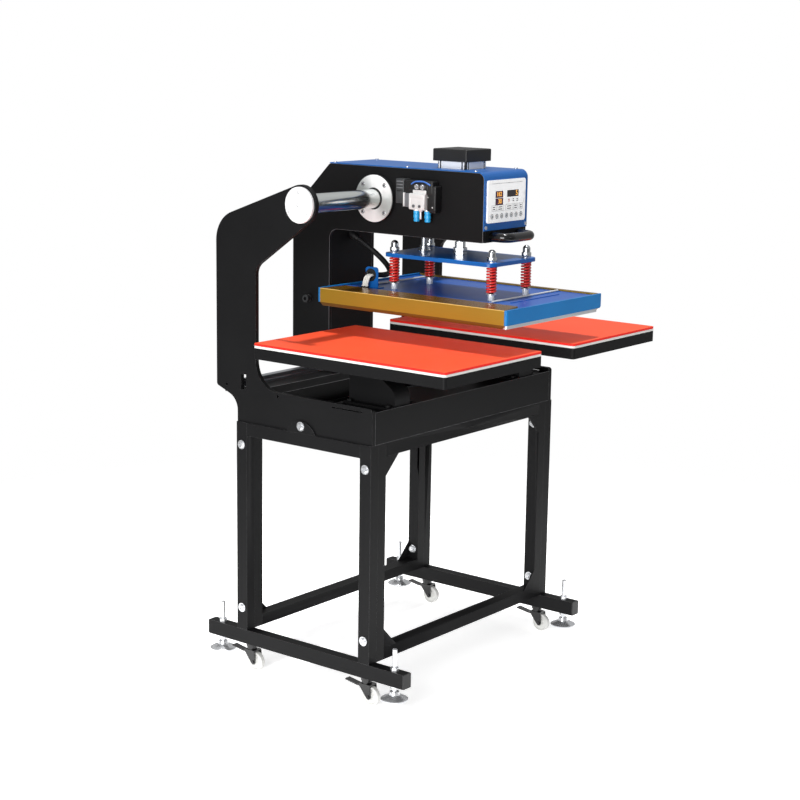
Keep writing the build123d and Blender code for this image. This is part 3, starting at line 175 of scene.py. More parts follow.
powder = {"black": "#111112", "worn": "#171718", "cloud": 7, "roughness": 0.45, "uneven": 0.12, "gloss": 0.15,
          "grain": 1100, "strength": 0.5, "height": 0.00006}


def blackPowder():
    finish = Finish("blackPowder")
    where = finish.place()
    cloud = finish.noise(where, powder["cloud"], 3)
    grain = finish.noise(where, powder["grain"], 2)
    return finish.surface(Base_Color=finish.mix(tint(powder["black"]), tint(powder["worn"]), cloud),
                          Roughness=cloud * powder["uneven"] + powder["roughness"],
                          Specular_IOR_Level=powder["gloss"],
                          Normal=finish.bump(grain, powder["strength"], powder["height"]))


coats = {"cover": ("#0c5aa8", "#1266b6"), "deck": ("#0a50a8", "#0d5cba"), "cap": ("#0672b8", "#0c80c8"),
         "plate": ("#0a5aaa", "#1068bc")}
blueLook = {"cloud": 9, "uneven": 0.1, "fleck": "#3a8cd8", "flecks": 900, "fleckStart": 0.6,
            "fleckFull": 0.72, "gloss": 0.35, "coatRoughness": 0.12, "ripple": 320, "strength": 0.25,
            "height": 0.00008}


def bluePowder(name, colours, roughness, sheen, fleckShare):
    finish = Finish(name)
    where = finish.place()
    cloud = finish.noise(where, blueLook["cloud"], 3)
    flecks = finish.ramp(finish.noise(where, blueLook["flecks"], 1), (blueLook["fleckStart"], 0),
                         (blueLook["fleckFull"], 1))
    base = finish.mix(tint(colours[0]), tint(colours[1]), cloud)
    ripple = finish.noise(where, blueLook["ripple"], 2)
    return finish.surface(Base_Color=finish.mix(base, tint(blueLook["fleck"]), flecks * fleckShare),
                          Roughness=cloud * blueLook["uneven"] + roughness,
                          Coat_Weight=sheen, Coat_Roughness=blueLook["coatRoughness"],
                          Specular_IOR_Level=blueLook["gloss"],
                          Normal=finish.bump(ripple, blueLook["strength"], blueLook["height"]))


goldLook = {"streaks": 420, "stretch": (1, 0.05, 1), "cloud": 8, "uneven": 0.15, "strength": 0.12,
            "height": 0.00005}


def goldBronze(name, low, high, roughness, metal):
    finish = Finish(name)
    streaks = finish.noise(finish.place(goldLook["stretch"]), goldLook["streaks"], 4, 0.7)
    cloud = finish.noise(finish.place(), goldLook["cloud"], 3)
    shade = finish.mix(tint(low), tint(high), streaks * 0.5 + cloud * 0.5)
    return finish.surface(Base_Color=shade, Metallic=metal,
                          Roughness=streaks * goldLook["uneven"] + roughness,
                          Normal=finish.bump(streaks, goldLook["strength"], goldLook["height"]))


steelLook = {"cloud": 11, "uneven": 0.12, "lineShare": 0.6, "strength": 0.3}


def steelFinish(name, shade, dark, roughness, grain, stretch=(1, 1, 1), depth=0.00003, metal=1.0):
    finish = Finish(name)
    lines = finish.noise(finish.place(stretch), grain, 4, 0.65)
    cloud = finish.noise(finish.place(), steelLook["cloud"], 3)
    share = lines * steelLook["lineShare"] + cloud * (1 - steelLook["lineShare"])
    return finish.surface(Base_Color=finish.mix(tint(dark), tint(shade), share), Metallic=metal,
                          Roughness=cloud * steelLook["uneven"] + roughness,
                          Normal=finish.bump(lines, steelLook["strength"], depth))


plasticLook = {"cloud": 12, "uneven": 0.1, "strength": 0.3, "height": 0.00004}


def plasticFinish(name, low, high, roughness, grain=500, coat=0.0, glow=0.0):
    finish = Finish(name)
    where = finish.place()
    cloud = finish.noise(where, plasticLook["cloud"], 3)
    shade = finish.mix(tint(low), tint(high), cloud)
    grains = finish.noise(where, grain, 2)
    return finish.surface(Base_Color=shade, Roughness=cloud * plasticLook["uneven"] + roughness,
                          Coat_Weight=coat, Emission_Color=shade, Emission_Strength=glow,
                          Normal=finish.bump(grains, plasticLook["strength"], plasticLook["height"]))


# dark and bright are the tones of the painted reflection sectors on the turned faces
turnedFace = {"y": 0.095, "z": 1.245, "dark": "#a9aeac", "bright": "#ffffff", "rings": 2600, "lean": 1.9,
              "cloud": 60, "sheenShare": 0.8, "darkBelow": 0.15, "brightFrom": 0.75, "metal": 0.2,
              "roughness": 0.34, "uneven": 0.08, "strength": 0.15, "height": 0.00002}


def facedSteelPaintedSheen():
    # turning marks round the shaft, and a painted reflection: bright and dark sectors in the base colour,
    # where such marks catch and lose the light
    finish = Finish("facedSteelPaintedSheen")
    apart = finish.node("SeparateXYZ", sockets={0: finish.place()})
    across = Signal(finish, apart.socket.node.outputs["Y"]) - turnedFace["y"]
    upward = Signal(finish, apart.socket.node.outputs["Z"]) - turnedFace["z"]
    angle = apart.maths("ARCTAN2", upward, across)
    radius = apart.maths("SQRT", across * across + upward * upward)
    sheenSectors = ((angle - turnedFace["lean"]) * 2.0).wave() * 0.5 + 0.5
    rings = (radius * turnedFace["rings"]).wave() * 0.5 + 0.5
    cloud = finish.noise(finish.place(), turnedFace["cloud"], 3)
    mixed = sheenSectors * turnedFace["sheenShare"] + cloud * (1 - turnedFace["sheenShare"])
    share = finish.ramp(mixed, (turnedFace["darkBelow"], 0), (turnedFace["brightFrom"], 1))
    return finish.surface(Base_Color=finish.mix(tint(turnedFace["dark"]), tint(turnedFace["bright"]), share),
                          Metallic=turnedFace["metal"],
                          Roughness=rings * turnedFace["uneven"] + turnedFace["roughness"],
                          Normal=finish.bump(rings, turnedFace["strength"], turnedFace["height"]))


# top is the mats' own colour; edge is a deeper red for their sides, as painted shade
matLook = {"top": ("#fb4a1e", "#ff5a2c"), "edge": ("#f21505", "#ff2410"), "cloud": 5, "cells": 650,
           "roughness": 0.5, "uneven": 0.12, "strength": 0.25, "height": 0.00012}


def siliconeMat(name, colours):
    finish = Finish(name)
    where = finish.place()
    cloud = finish.noise(where, matLook["cloud"], 4)
    cells = finish.noise(where, matLook["cells"], 3)
    return finish.surface(Base_Color=finish.mix(tint(colours[0]), tint(colours[1]), cloud),
                          Roughness=cells * matLook["uneven"] + matLook["roughness"],
                          Normal=finish.bump(cells, matLook["strength"], matLook["height"]))


felt = {"low": "#dcdcd8", "high": "#f6f6f3", "fibres": 260, "stretch": (1, 1, 8), "roughness": 0.85,
        "strength": 0.4, "height": 0.0003}


def feltBoard():
    finish = Finish("feltBoard")
    fibres = finish.noise(finish.place(felt["stretch"]), felt["fibres"], 4, 0.7)
    return finish.surface(Base_Color=finish.mix(tint(felt["low"]), tint(felt["high"]), fibres),
                          Roughness=felt["roughness"],
                          Normal=finish.bump(fibres, felt["strength"], felt["height"]))


braid = {"twist": 1.5, "threadShare": 0.7, "speck": "#1a1a1c", "speckScale": 0.8, "speckFull": 0.16,
         "speckEnd": 0.3, "strength": 0.5, "height": 0.0003}


def braidFinish(name, low, high, pitch, roughness, specks=0.0):
    # threads that cross at a steep angle, with darker specks between them
    finish = Finish(name)
    where = finish.place()
    threads = finish.node("TexWave", {"wave_type": "BANDS", "bands_direction": "DIAGONAL"},
                          {"Vector": where, "Scale": pitch, "Distortion": braid["twist"], "Detail": 1.0})
    weave = threads * braid["threadShare"] + finish.noise(where, pitch * 2, 2) * (1 - braid["threadShare"])
    cells = finish.node("TexVoronoi", sockets={"Vector": where, "Scale": pitch * braid["speckScale"]})
    dark = finish.ramp(cells, (braid["speckFull"], 1), (braid["speckEnd"], 0)) * specks
    base = finish.mix(tint(low), tint(high), weave)
    return finish.surface(Base_Color=finish.mix(base, tint(braid["speck"]), dark), Roughness=roughness,
                          Normal=finish.bump(weave, braid["strength"], braid["height"]))


display = {"cells": 900, "roughness": 0.1, "uneven": 0.05, "coat": 0.5}


def displayGlass(name, low, high):
    finish = Finish(name)
    cells = finish.noise(finish.place(), display["cells"], 1)
    return finish.surface(Base_Color=finish.mix(tint(low), tint(high), cells),
                          Roughness=cells * display["uneven"] + display["roughness"],
                          Coat_Weight=display["coat"])


lit = {"colour": "#ffb020", "grain": 700, "paleness": 0.1, "roughness": 0.4, "strength": 0.8}


def litSegment():
    finish = Finish("litYellow")
    grain = finish.noise(finish.place(), lit["grain"], 1)
    shade = finish.mix(tint(lit["colour"]), (1, 1, 1, 1), grain * lit["paleness"])
    return finish.surface(Base_Color=shade, Roughness=lit["roughness"], Emission_Color=shade,
                          Emission_Strength=lit["strength"])


finishes = {
    "black_steel": blackPowder(),
    "blue_paint": bluePowder("bluePowder", coats["cover"], 0.34, 0.1, 0.2),
    "gold_steel": goldBronze("goldWall", "#94751a", "#a88622", 0.36, 0.15),
    "zinc_plate": steelFinish("zincPlate", "#f4f5f7", "#cfd1d5", 0.2, 900, metal=0.8),
    "satin_steel": steelFinish("satinSteel", "#ffffff", "#f0f1f2", 0.36, 1400, metal=0.15),
    "ground_steel": steelFinish("groundSteel", "#c4c7cc", "#9a9ea4", 0.26, 700, (0.05, 1, 1)),
    "hard_chrome": steelFinish("hardChrome", "#f0f4f3", "#d6dbd9", 0.13, 500, (0.02, 1, 1), 0.00001),
    "silver_aluminium": steelFinish("silverAluminium", "#ffffff", "#f6f7f8", 0.3, 800, (1, 1, 0.05),
                                    metal=0.05),
    "cast_aluminium": steelFinish("castAluminium", "#f4f6f8", "#d6dadd", 0.34, 380, depth=0.0001, metal=0.7),
    "black_plastic": plasticFinish("blackPlastic", "#101011", "#18181a", 0.42),
    # the panel's white plastic glows a little: painted light on a face the lamps barely reach
    "panel_plastic": plasticFinish("panelPlasticPaintedGlow", "#fbfcfc", "#ffffff", 0.25, coat=0.4, glow=0.28),
    "black_gloss": plasticFinish("blackGloss", "#050506", "#0a0a0b", 0.16, coat=0.3),
    "clear_nylon": plasticFinish("clearNylon", "#dfe3e6", "#f2f4f5", 0.2, coat=0.5),
    "white_nylon": plasticFinish("whiteNylon", "#d0d0cd", "#e0e0dd", 0.35),
    "red_spring": plasticFinish("redSpring", "#dc1c12", "#f03a2a", 0.26, coat=0.8),
    "orange_silicone": siliconeMat("matTop", matLook["top"]),
    "white_board": feltBoard(),
    "white_braid": braidFinish("whiteBraid", "#e6e3dc", "#fdfcf8", 900, 0.7, 0.85),
    "black_sleeve": braidFinish("blackSleeve", "#0b0b0c", "#1b1b1d", 700, 0.5),
}
accents = {
    "deckBlue": bluePowder("deckBlue", coats["deck"], 0.3, 0.06, 0.25),
    # a lighter grey for the rounded edges of black parts: a painted highlight
    "edgeGrey": plasticFinish("edgeGrey", "#5c5c5e", "#707072", 0.35),
    "capBlue": bluePowder("capBlue", coats["cap"], 0.36, 0.1, 0.15),
    "plateBlue": bluePowder("plateBlue", coats["plate"], 0.28, 0.2, 0.15),
    # three copies of the rail's gold: a darker one for the top ledge as painted shade, a pale one for the
    # slanted top edge as a painted highlight, and a darker one for the lower hem as painted shade from the
    # shaded mat it reflects
    "goldLedge": goldBronze("goldLedge", "#6f4d0c", "#93691a", 0.2, 0.5),
    "goldEdge": goldBronze("goldEdge", "#d8aa50", "#ecc77a", 0.3, 0.2),
    "goldHem": goldBronze("goldHem", "#5a3d0c", "#7a5615", 0.4, 0.3),
    "matEdge": siliconeMat("matEdge", matLook["edge"]),
    "facedSteelPaintedSheen": facedSteelPaintedSheen(),
    "darkRubber": plasticFinish("darkRubber", "#0d0d0e", "#161617", 0.6, 300),
    "mirrorNut": steelFinish("mirrorNut", "#dfe2e5", "#b4b8bc", 0.1, 600),
    "fittingBlue": plasticFinish("fittingBlue", "#16a0e0", "#3ab8f4", 0.3, coat=0.4),
    "coilBlack": plasticFinish("coilBlack", "#0c0c0d", "#151517", 0.4, 260),
    "valveSilver": steelFinish("valveSilver", "#fbfbfa", "#e2e3e3", 0.3, 700, metal=0.3),
    "valveGrey": steelFinish("valveGrey", "#8b8e92", "#6a6d71", 0.4, 420, metal=0.5),
    "blockGrey": steelFinish("blockGrey", "#4a4c4e", "#36383a", 0.34, 300, metal=0.3),
    "hoseBlue": plasticFinish("hoseBlue", "#2f66c0", "#4580d8", 0.3, coat=0.4),
    "displayPurple": displayGlass("displayPurple", "#3a1033", "#561a4a"),
    "displayDark": displayGlass("displayDark", "#150d12", "#22141c"),
    "litYellow": litSegment(),
    "inkGrey": plasticFinish("inkGrey", "#55585c", "#6a6d72", 0.5),
    "inkRed": plasticFinish("inkRed", "#b3312a", "#c8403a", 0.5),
}
print("finishes made:", len(finishes) + len(accents))


def finishNamed(name):
    return accents.get(name) or finishes[name]


slotOf = {part["node"]: part["material_slot"] for part in frame["record"]["subparts"]}
bodyOf = {node: body for body, members in frame["record"]["behaviour"]["bodies"].items() for node in members}

for node, shape in nodes.items():
    shape.data.materials.clear()
    painted = "caster" in node and "wheel" not in node
    shape.data.materials.append(finishes["black_gloss" if painted else slotOf[node]])
print("nodes dressed")


# Mesh tools

def piece(name, shape, finishNames, body, smooth=40, weighted=False):
    mesh = bpy.data.meshes.new(name)
    shape.to_mesh(mesh)
    shape.free()
    for finishName in finishNames:
        mesh.materials.append(finishNamed(finishName))
    mesh.shade_smooth()
    mesh.set_sharp_from_angle(angle=math.radians(smooth))
    made = bpy.data.objects.new(name, mesh)
    bpy.context.scene.collection.objects.link(made)
    if weighted:
        made.modifiers.new("evenShading", "WEIGHTED_NORMAL").keep_sharp = True
    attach(made, body)
    return made


def islandsOf(shape):
    # the separate solids of a shape, each a list of its faces
    waiting = set(shape.faces)
    groups = []
    while waiting:
        group, front = [], [waiting.pop()]
        while front:
            face = front.pop()
            group.append(face)
            for edge in face.edges:
                for other in edge.link_faces:
                    if other in waiting:
                        waiting.discard(other)
                        front.append(other)
        groups.append(group)
    return groups


rounding = {"weld": 0.01, "flat": 1, "sharp": 28, "segments": 2, "smooth": 50}


def recast(node, width, choose=None, extra=(), rim=0):
    # the node's own shape with its hard edges rounded; choose gives each face the number of its finish
    shape = bmesh.new()
    shape.from_mesh(nodes[node].data)
    bmesh.ops.remove_doubles(shape, verts=shape.verts, dist=rounding["weld"] * mm)
    bmesh.ops.dissolve_limit(shape, angle_limit=math.radians(rounding["flat"]), use_dissolve_boundaries=False,
                             verts=shape.verts, edges=shape.edges, delimit={"NORMAL"})
    limit = math.radians(rounding["sharp"])
    hard = [edge for edge in shape.edges if len(edge.link_faces) == 2 and edge.calc_face_angle(0) > limit]
    rounded = bmesh.ops.bevel(shape, geom=hard, offset=width * mm, affect="EDGES",
                              segments=rounding["segments"], profile=0.5, material=-1,
                              clamp_overlap=True)["faces"]
    # the rounded faces take finish number rim; on black parts that is the lighter edge grey, a painted
    # highlight
    for face in rounded:
        face.material_index = rim
    if choose:
        shape.normal_update()
        for group in islandsOf(shape):
            spots = [vert.co / mm for face in group for vert in face.verts]
            solid = SimpleNamespace(low=Vector([min(spot[k] for spot in spots) for k in range(3)]),
                                    high=Vector([max(spot[k] for spot in spots) for k in range(3)]))
            for face in group:
                seen = SimpleNamespace(spot=face.calc_center_median() / mm, normal=face.normal, solid=solid)
                face.material_index = choose(seen)
    made = piece("soft_" + node, shape, (slotOf[node],) + extra, bodyOf[node],
                 rounding["smooth"], weighted=True)
    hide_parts(node)


def spun(profile, steps=48):
    # a closed turned solid from points of radius and height, in millimetres
    shape = bmesh.new()
    verts = [shape.verts.new((radius * mm, 0, height * mm)) for radius, height in profile]
    edges = [shape.edges.new((a, b)) for a, b in zip(verts, verts[1:] + verts[:1])]
    bmesh.ops.spin(shape, geom=verts + edges, cent=(0, 0, 0), axis=(0, 0, 1), angle=2 * math.pi,
                   steps=steps, use_merge=True, use_duplicate=False)
    bmesh.ops.remove_doubles(shape, verts=shape.verts, dist=0.000001)
    bmesh.ops.recalc_face_normals(shape, faces=shape.faces)
    return shape


def roundedBlock(low, high, width=1.0, segments=3):
    shape = bmesh.new()
    bmesh.ops.create_cube(shape, size=1)
    size = [(b - a) * mm for a, b in zip(low, high)]
    middle = [(a + b) * mm / 2 for a, b in zip(low, high)]
    bmesh.ops.scale(shape, vec=size, verts=shape.verts)
    bmesh.ops.translate(shape, vec=middle, verts=shape.verts)
    bmesh.ops.bevel(shape, geom=shape.edges[:], offset=width * mm, affect="EDGES", segments=segments,
                    profile=0.5, material=-1, clamp_overlap=True)
    return shape


def hexBar(flats, height, edge=0.8):
    shape = bmesh.new()
    corner = flats / math.sqrt(3) * mm
    ring = [shape.verts.new((corner * math.cos(math.pi * k / 3), corner * math.sin(math.pi * k / 3), 0))
            for k in range(6)]
    base = shape.faces.new(ring)
    grown = bmesh.ops.extrude_face_region(shape, geom=[base])["geom"]
    raised = [part for part in grown if isinstance(part, bmesh.types.BMVert)]
    bmesh.ops.translate(shape, vec=(0, 0, height * mm), verts=raised)
    bmesh.ops.recalc_face_normals(shape, faces=shape.faces)
    bmesh.ops.bevel(shape, geom=shape.edges[:], offset=edge * mm, affect="EDGES", segments=2, profile=0.5,
                    material=-1, clamp_overlap=True)
    return shape


def gather(target, part, place=(0, 0, 0), turn=None, finish=0):
    # part joined into target, turned first and then moved to a place in millimetres
    if turn:
        bmesh.ops.rotate(part, cent=(0, 0, 0), matrix=Matrix.Rotation(turn[0], 3, turn[1]), verts=part.verts)
    bmesh.ops.translate(part, vec=[value * mm for value in place], verts=part.verts)
    for face in part.faces:
        face.material_index = finish
    carrier = bpy.data.meshes.new("carrier")
    part.to_mesh(carrier)
    part.free()
    target.from_mesh(carrier)
    bpy.data.meshes.remove(carrier)


def curveMesh(name, lines, radius, turns=6, steps=6):
    # tubes along smooth splines, and the first spline's own path
    curve = bpy.data.curves.new(name, "CURVE")
    curve.dimensions = "3D"
    curve.bevel_resolution = turns
    curve.resolution_u = steps
    curve.use_fill_caps = True
    for line in lines:
        spline = curve.splines.new("NURBS")
        spline.points.add(len(line) - 1)
        for point, place in zip(spline.points, line):
            point.co = (place[0] * mm, place[1] * mm, place[2] * mm, 1)
        spline.order_u = 3
        spline.use_endpoint_u = True
    holder = bpy.data.objects.new(name + "Line", curve)
    bpy.context.scene.collection.objects.link(holder)
    bpy.context.view_layer.update()
    path = [v.co.copy() for v in bpy.data.meshes.new_from_object(holder).vertices]
    curve.bevel_depth = radius * mm
    bpy.context.view_layer.update()
    mesh = bpy.data.meshes.new_from_object(holder)
    bpy.data.objects.remove(holder)
    mesh.materials.clear()
    mesh.shade_smooth()
    mesh.set_sharp_from_angle(angle=math.radians(rounding["smooth"]))
    made = bpy.data.objects.new(name, mesh)
    bpy.context.scene.collection.objects.link(made)
    return made, path


def lengthOf(path):
    return sum((b - a).length for a, b in zip(path, path[1:]))


# Sleeve between the head and the platen

sleeve = {"tip": (2, 236, 1121), "radius": 7.3,
          "steps": [(0, 0, 0), (3.5, -29, -17), (6, -60, -36.5), (3, -89, -54.5), (-8, -114, -69),
                    (-26, -131, -77), (-49, -138, -80), (-76, -136.5, -79), (-99.4, -131.4, -76.4)]}


def makeSleeve():
    route = [tuple(a + b for a, b in zip(sleeve["tip"], step)) for step in sleeve["steps"]]
    tube, path = curveMesh("sleeve", [route], sleeve["radius"], steps=12)
    tube.data.materials.append(finishNamed("black_sleeve"))
    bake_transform(tube)
    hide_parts("conduit")
    print("sleeve length", round(lengthOf(path), 4))


leads = {"startX": -100.5, "bendX": -118, "y": 105, "shift": 8, "pitch": 6.1, "z": 1045, "landing": 1022,
         "endZ": 1007, "radius": 3}


def makeLeads():
    for k in (-1, 0, 1):
        y = leads["y"] + k * leads["pitch"]
        route = [(leads["startX"], y, leads["z"]), (leads["bendX"], y, leads["z"]),
                 (leads["bendX"], y + leads["shift"], leads["landing"]),
                 (leads["bendX"], y + leads["shift"], leads["endZ"])]
        tube, path = curveMesh("lead" + str(k + 2), [route], leads["radius"], steps=12)
        tube.data.materials.append(finishNamed("white_braid"))
        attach(tube, "platen")
        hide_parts("heater_leads")


makeSleeve()
makeLeads()
print("sleeve and leads made")


# Springs and their studs

coil = {"low": 1028, "length": 69, "wire": 4.8, "shownWire": 5.6, "shownRadius": 11.2, "turns": 9,
        "seat": 0.25, "closedGap": 0.9, "perTurn": 16, "x": 76, "rows": (49, -261), "travel": 10}


def coilHeight(turn):
    closed = coil["wire"] + coil["closedGap"]
    rise = coil["length"] - coil["wire"] - 2 * coil["seat"]
    pitch = (rise - 2 * closed) / (coil["turns"] - 2)
    first = coil["low"] + coil["wire"] / 2 + coil["seat"]
    inner = min(max(turn - 1, 0), coil["turns"] - 2)
    return first + closed * (min(turn, 1) + max(turn - coil["turns"] + 1, 0)) + pitch * inner


def makeSprings():
    lines = []
    middle = coil["shownRadius"]
    for x in (-coil["x"], coil["x"]):
        for y in coil["rows"]:
            line = []
            for k in range(coil["turns"] * coil["perTurn"] + 1):
                turn = k / coil["perTurn"]
                angle = 2 * math.pi * turn
                line.append((x + middle * math.cos(angle), y + middle * math.sin(angle), coilHeight(turn)))
            lines.append(line)
    made, path = curveMesh("springCoils", lines, coil["shownWire"] / 2, turns=4, steps=2)
    made.data.materials.append(finishNamed("red_spring"))
    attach(made, "platen")
    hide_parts("springs")
    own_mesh(made)


stud = {"deck": 1010, "standoff": 16, "standoffFlats": 15, "seat": 2, "seatRadius": 13, "plateTop": 1107.3,
        "washerRadius": 11.5, "washerEdge": 0.4, "radius": 5, "nutFlats": 22, "nutHeight": 11, "nutEdge": 1.2,
        "domeHeight": 19, "domeRadius": 9.8, "domeSink": 0.5, "domeStep": 10}
ties = {"left": -106, "right": 191, "radius": 2.6, "edge": 0.5, "rows": (134, -285)}


def domeProfile():
    radius, height = stud["domeRadius"], stud["domeHeight"]
    shoulder = height - radius
    arc = [(radius * math.cos(math.radians(a)), shoulder + radius * math.sin(math.radians(a)))
           for a in range(0, 90, stud["domeStep"])]
    return [(0, 0), (radius, 0)] + arc + [(0, height)]


def makeStuds():
    shape = bmesh.new()
    looks = ("zinc_plate", "clear_nylon", "mirrorNut", "white_nylon", "black_plastic")
    number = looks.index
    seatLow = stud["deck"] + stud["standoff"]
    nutLow = stud["plateTop"] + stud["seat"]
    for x in (-coil["x"], coil["x"]):
        for y in coil["rows"]:
            standoff = hexBar(stud["standoffFlats"], stud["standoff"])
            gather(shape, standoff, (x, y, stud["deck"]), finish=number("clear_nylon"))
            plate = [(0, 0), (stud["seatRadius"], 0), (stud["seatRadius"], stud["seat"]), (0, stud["seat"])]
            gather(shape, spun(plate), (x, y, seatLow))
            # the shank inside each spring takes the black finish as painted shade within the coil
            shank = [(0, 0), (stud["radius"], 0), (stud["radius"], nutLow - seatLow), (0, nutLow - seatLow)]
            gather(shape, spun(shank, steps=24), (x, y, seatLow), finish=number("black_plastic"))
            edge = stud["washerEdge"]
            washer = [(0, 0), (stud["washerRadius"], 0), (stud["washerRadius"], stud["seat"] - edge),
                      (stud["washerRadius"] - edge, stud["seat"]), (0, stud["seat"])]
            gather(shape, spun(washer), (x, y, stud["plateTop"]))
            nut = hexBar(stud["nutFlats"], stud["nutHeight"], stud["nutEdge"])
            gather(shape, nut, (x, y, nutLow), finish=number("mirrorNut"))
            domeLow = nutLow + stud["nutHeight"] - stud["domeSink"]
            gather(shape, spun(domeProfile()), (x, y, domeLow), finish=number("mirrorNut"))
    for y in ties["rows"]:
        length, radius, edge = ties["right"] - ties["left"], ties["radius"], ties["edge"]
        bar = [(0, 0), (radius - edge, 0), (radius, edge), (radius, length - edge), (radius - edge, length),
               (0, length)]
        place = (ties["left"], y, stud["deck"] + radius)
        gather(shape, spun(bar, steps=20), place, (math.pi / 2, "Y"), number("white_nylon"))
    made = piece("springStuds", shape, looks, "platen")
    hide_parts("spring_studs")


makeSprings()
makeStuds()
print("springs and studs made")


# Shuttle bearings

bearing = {"headHalf": 94, "y": 95, "z": 1245, "flange": 61, "height": 16, "edge": 1.5, "tube": 31,
           "tubeLength": 60, "bore": 25.05, "liner": 28.05, "seal": 3, "sealLip": 0.8, "circle": 50,
           "screws": 4, "disc": 3.5, "backInset": 0.6, "pocket": 6, "pocketHeight": 0.15, "steps": 96}
flangeScrew = {"sink": 0.05, "head": [(2.6, 0), (4.5, 0), (5, 0.2), (5, 0.5), (4.4, 0.9), (2.6, 0.9)]}


def makeBearings():
    shape = bmesh.new()
    looks = ("facedSteelPaintedSheen", "darkRubber", "zinc_plate", "ground_steel", "black_plastic")
    number = looks.index
    face, rim, edge = bearing["height"], bearing["flange"], bearing["edge"]
    bore, liner, tube = bearing["bore"], bearing["liner"], bearing["tube"]
    back, low, deep = face - bearing["disc"], face - bearing["seal"], -bearing["tubeLength"]
    housing = [(liner, deep), (tube, deep), (tube, 0), (rim - bearing["backInset"], 0),
               (rim - bearing["backInset"], back), (liner, back)]
    turned = [(liner, back), (rim, back), (rim, face - edge), (rim - edge / 3, face - edge / 3),
              (rim - edge, face), (liner + 1, face), (liner, face - 1)]
    bush = [(bore, deep), (liner, deep), (liner, low), (bore, low)]
    lip = bearing["sealLip"]
    wiper = [(bore, low), (liner, low), (liner, face), (bore + lip, face + lip), (bore, face + lip / 4)]
    pocket = [(0, 0), (bearing["pocket"], 0), (bearing["pocket"], bearing["pocketHeight"]),
              (0, bearing["pocketHeight"])]
    for side in (-1, 1):
        turn = (side * math.pi / 2, "Y")
        place = (side * bearing["headHalf"], bearing["y"], bearing["z"])
        gather(shape, spun(housing, bearing["steps"]), place, turn, number("black_plastic"))
        gather(shape, spun(turned, bearing["steps"]), place, turn)
        gather(shape, spun(bush), place, turn, number("ground_steel"))
        gather(shape, spun(wiper), place, turn, number("darkRubber"))
        screwX = side * (bearing["headHalf"] + face - flangeScrew["sink"])
        for k in range(bearing["screws"]):
            angle = (k + 0.5) * 2 * math.pi / bearing["screws"]
            y = bearing["y"] + bearing["circle"] * math.cos(angle)
            z = bearing["z"] + bearing["circle"] * math.sin(angle)
            gather(shape, spun(pocket, steps=32), (screwX, y, z), turn, number("darkRubber"))
            head = spun(flangeScrew["head"], steps=32)
            gather(shape, head, (screwX, y, z), turn, number("zinc_plate"))
    made = piece("bearingFlanges", shape, looks, "head")
    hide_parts("shuttle_bearings")


makeBearings()
print("bearings made")


# Valve

# corners and places are from the body's corner that is lowest, foremost and farthest out;
# each block has its two corners, the rounding of its edges, the steps of that rounding and its finish
valve = {
    "corner": (-126, -84, 1227),
    "looks": ("valveSilver", "coilBlack", "fittingBlue", "valveGrey", "zinc_plate", "blockGrey"),
    "blocks": {
        "body": ((0, 0, 0), (32, 49, 41), 1.2, 3, "valveSilver"),
        "frontRim": ((-1.5, 0, 2), (1, 4, 40), 0.8, 2, "valveSilver"),
        "rearRim": ((-1.5, 45, 2), (1, 49, 40), 0.8, 2, "valveSilver"),
        "upperBand": ((-1.5, 3, 29), (1, 46, 40), 1, 2, "valveSilver"),
        "pilotBlock": ((2, -2, 39), (32, 40, 50), 1.5, 3, "valveSilver"),
        "coils": ((5, -21, 39), (32, 70, 73), 4, 3, "coilBlack"),
        "knobPlate": ((3, -8, 49), (8, 55, 67), 2, 3, "coilBlack"),
        "plug": ((6, -30, -3), (32, -3, 61), 3, 3, "coilBlack"),
        "plugFoot": ((12, -26, -7), (32, -3, 41), 2, 3, "coilBlack"),
        "greyBlock": ((4, 50, 5), (32, 66, 40), 1, 3, "valveGrey"),
        "brightPlate": ((1, 66, 6), (32, 70, 41), 0.6, 3, "valveSilver"),
        "finBlock": ((4, 70, 13), (32, 96, 75), 1.5, 3, "blockGrey"),
        "fin1": ((2.5, 73, 67), (6, 93, 70), 0.8, 2, "valveGrey"),
        "fin2": ((2.5, 73, 59), (6, 93, 62), 0.8, 2, "valveGrey"),
        "fin3": ((2.5, 73, 51), (6, 93, 54), 0.8, 2, "valveGrey"),
        "fin4": ((2.5, 73, 43), (6, 93, 46), 0.8, 2, "coilBlack")},
    "screw": {"profile": [(1.8, 0), (4.2, 0), (4.2, 0.8), (3.6, 1.4), (1.8, 1.4)], "steps": 24,
              "places": [(-0.2, 16, 9), (-0.2, 35, 9)], "look": "valveGrey"},
    "socket": {"profile": [(0, 0), (1.8, 0), (1.8, 0.4), (0, 0.4)], "steps": 6,
               "places": [(-0.2, 16, 9), (-0.2, 35, 9)], "look": "coilBlack"},
    "knob": {"profile": [(0, 0), (6.5, 0), (6.5, 4), (5.5, 5.5), (3.6, 5.5), (3.2, 4.6), (0, 4.6)],
             "steps": 32, "places": [(3, 8, 58), (3, 26, 58)], "look": "zinc_plate"},
    "plugScrew": {"profile": [(0, 0), (1.8, 0), (1.8, 0.8), (1.3, 1.3), (0, 1.3)], "steps": 20,
                  "places": [(6.2, -6, 33), (6.2, -21, 8)], "look": "valveSilver"},
    "fittings": [(16, 1, 0), (16, 36, 0)], "hexFlats": 15, "hexHeight": 4,
    "collet": [(3, -31), (6.5, -31), (8, -29.5), (8, -25), (6.9, -24), (6.9, -22), (8.5, -21), (8.5, -14),
               (7.5, -13), (7.5, -11), (8.5, -10), (8.5, -4), (7.5, -3), (3, -3)],
    "mufflerPlace": (10, 19, 0),
    "muffler": [(0, -24), (2, -24), (2.6, -23), (2.6, -6), (5, -4), (6.5, 0), (0, 0)],
    "hose": [(5, 47, 62), (2.8, 39, 69), (2.8, 24, 72), (2.8, 0, 72), (5, -14, 63)], "hoseRadius": 1.9}


def onValve(place):
    return tuple(a + b for a, b in zip(valve["corner"], place))


